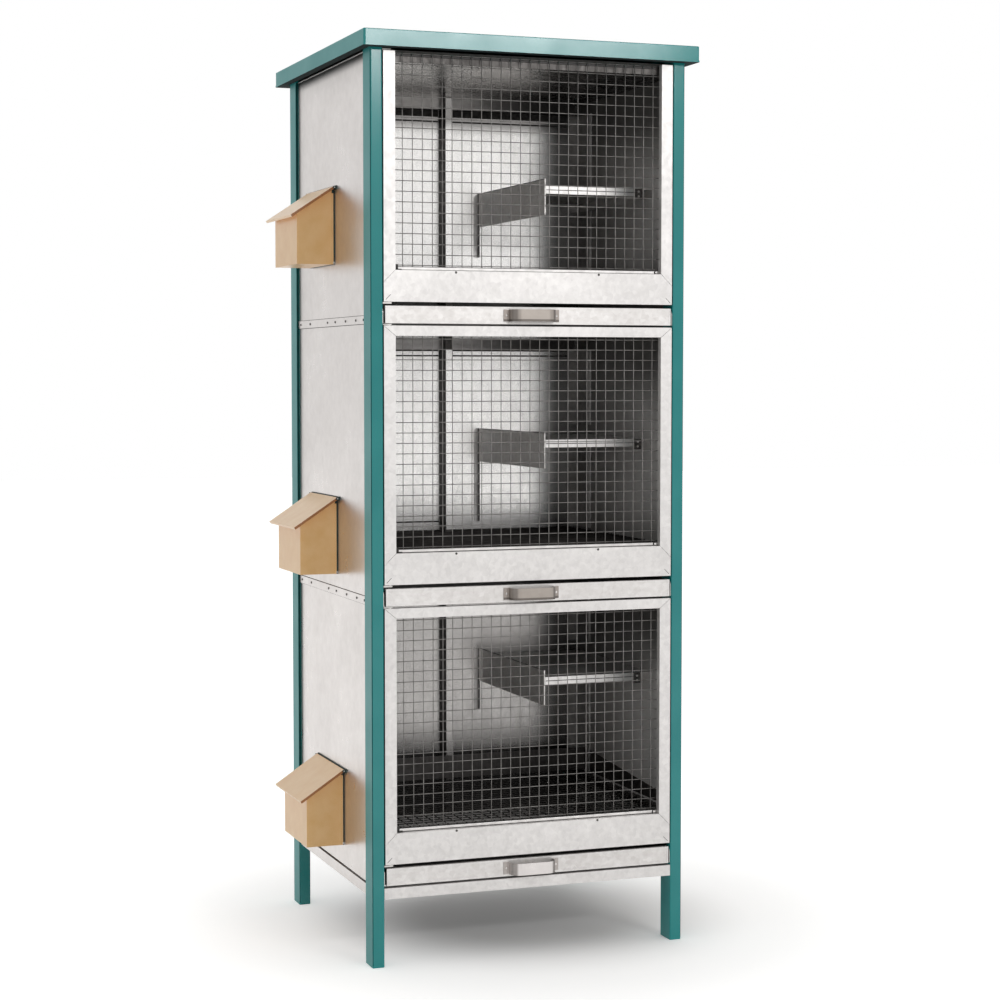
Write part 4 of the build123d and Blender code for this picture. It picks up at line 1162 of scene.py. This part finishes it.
for tier, channel_base in zip(TIERS[1:], channel_bases[1:]):
    strip_top = channel_base - GAP_HEIGHTS[tier]
    strip_base = strip_top - BORDER_STRIP
    for sheet in (left_sheet, right_sheet):
        border(dark, sheet, strip_top, channel_base)
        border(bright, sheet, strip_base, strip_top)
        border(dark, sheet, strip_base - BORDER_LINE, strip_base)
foot_base, foot_top = [corners("floor_mesh_middle")[1].z + rise for rise in FOOT_STRIP]
border(bright, left_sheet, foot_base, foot_top)
border(dark, left_sheet, foot_top, foot_top + BORDER_LINE)

cover_left, cover_right = mullion_low.x + COVER_SIDES[0], mullion_high.x - COVER_SIDES[1]
cover_front, cover_back = mullion_low.y - COVER_DEPTH[0], mullion_low.y + COVER_DEPTH[1]
for tier, cover_top in zip(TIERS, (channel_bases[0], channel_bases[1], channel_top - MULLION_GAP)):
    cover_base = corners(f"floor_mesh_{tier}")[1].z + COVER_RISE
    start = (cover_left, cover_front, cover_base)
    bright.append(rounded_bar(start, (cover_right, cover_back, cover_top), LINE_EDGE))
print("border strips:", len(bright), "gaps:", len(dark))
# The dark bars are painted shade.
dress(join(dark, "back_border_shade"), seam_dirt_and_shade)
dress(join(bright, "back_border_strips"), back_zinc)

# %% [markdown]
# ## Fold at the front of the ceiling
# The ceiling sheet is turned up at its front edge, behind the top door's mesh, and closes the gap to the
# roof. It laps the sheet by half a millimetre, so that no two faces lie in one plane.

# %% Fold at the front of the ceiling
FOLD_SHEET = 1.0 * MM
FOLD_EDGE = FOLD_SHEET * 0.4
FOLD_GAP = 2 * MM
FOLD_LAP = 0.5 * MM
FOLD_TOP_GAP = 0.5 * MM
low, high = corners("ceiling_sheet")
turned_up = rounded_bar(
    (low.x + FOLD_GAP, low.y - FOLD_LAP, low.z - FOLD_LAP),
    (high.x - FOLD_GAP, low.y + FOLD_SHEET, soffit - FOLD_TOP_GAP),
    FOLD_EDGE,
)
# The fold is in the dark zinc that paints shade.
dress(join([turned_up], "ceiling_fold"), shade_zinc)
print("ceiling fold in mm:", round((soffit - low.z) / MM, 1))

# %% [markdown]
# ## Nest shelf trim
# The plate beside each nest has a rolled bright bead on its front edge and a dark line of painted shade
# along its top. The shelf's lip is folded along its middle, with a dark line of painted shade in the crease,
# and a small bracket with two screws carries the lip's right end.
# Each piece is straight, so a rounded bar gives it, and only the amount of rounding differs.

# %% Nest shelf trim
BEAD = 3.4 * MM
BEAD_EDGE = BEAD * 0.3
BEAD_OVERLAP = 0.6 * MM
BEAD_FRONT, BEAD_REAR = BEAD * 0.4, BEAD * 0.6
PLATE_BELOW = 60 * MM
PLATE_SHEET = 1.5 * MM
PLATE_CORNER = 8 * MM
PLATE_LINE = 0.2 * MM
LIP_SEAM = 1.6 * MM
LIP_LINE = 0.15 * MM
LIP_START = 2 * MM
LIP_GAP = 25 * MM
LIP_HEIGHT = 16 * MM
BRACKET = Vector((17, 2, 22)) * MM
SCREW_RISES = (0.28, 0.72)
beads = []
seams = []
brackets = []
places = []
for tier in TIERS:
    plate_top = corners(f"nest_plate_{tier}")[1].z
    low, high = corners(f"nest_shelf_{tier}")
    bead_right = low.x + BEAD_OVERLAP
    start = (low.x - BEAD + BEAD_OVERLAP, low.y - BEAD_FRONT, high.z - PLATE_BELOW)
    beads.append(rounded_bar(start, (bead_right, low.y + BEAD_REAR, plate_top), BEAD_EDGE))

    # Dark bars of painted shade along the plate's top and in the lip's crease.
    plate_face = low.x - PLATE_SHEET
    start = (plate_face - PLATE_LINE, low.y + BEAD, plate_top - LIP_SEAM)
    end = (plate_face + PLATE_LINE, tail_front - PLATE_CORNER, plate_top)
    seams.append(rounded_bar(start, end, THIN_EDGE))

    lip_right = high.x - LIP_GAP
    lip_middle = high.z - LIP_HEIGHT / 2
    start = (low.x + LIP_START, low.y - LIP_LINE, lip_middle - LIP_SEAM / 2)
    seams.append(rounded_bar(start, (lip_right, low.y + LIP_LINE, lip_middle + LIP_SEAM / 2), THIN_EDGE))

    start = Vector((lip_right - BRACKET.x, low.y - BRACKET.y, high.z - BRACKET.z))
    brackets.append(rounded_bar(start, start + BRACKET, BLUNT_EDGE))
    for rise in SCREW_RISES:
        places.append((start.x + BRACKET.x / 2, start.y, start.z + BRACKET.z * rise))
dress(join(beads, "nest_beads"), plated)
dress(join(seams, "nest_lip_seams"), seam_dirt_and_shade)
dress(join(brackets, "nest_brackets"), aged_steel, "cage")
dress(heads_at(small_screw, places, "nest_bracket_screws"), plated, "cage")
print("nest shelves trimmed:", len(TIERS))

# %% [markdown]
# ## Edges of the feeder backings
# A bright screw shows at the lower near corner of each dark plate behind a feeder, and a thin lath of the
# same board as the box covers half of the plate's near and far edges. A lath could be part of the box, but
# it lies on the plate, so it is a bar of its own.

# %% Edges of the feeder backings
CORNER_RISE = 3.5 * MM
BACKING = 6 * MM
LATH = Vector((3.4, 0.8, 146)) * MM
wall_face = left_wall[0].x
places = []
laths = []
for tier in TIERS:
    low, high = corners(f"feeder_box_{tier}")
    places.append((wall_face - BACKING / 4, low.y, low.z + CORNER_RISE))
    for y in (low.y - LATH.y, high.y):
        start = Vector((wall_face - BACKING, y, low.z))
        laths.append(rounded_bar(start, start + LATH, LINE_EDGE))
print("backing screws:", len(places), "laths:", len(laths))
dress(heads_at(small_screw, places, "backing_screws"), plated, "cage")
dress(join(laths, "backing_laths"), board, "cage")

# %% [markdown]
# ## Clearing away the heads
# The heads that the copies were made from are cleared away, and the view transform is set to Standard.

# %% Clearing away the heads
for head in (strap_rivet, small_screw, bar_screw):
    bpy.data.objects.remove(head)
bpy.context.scene.view_settings.view_transform = "Standard"
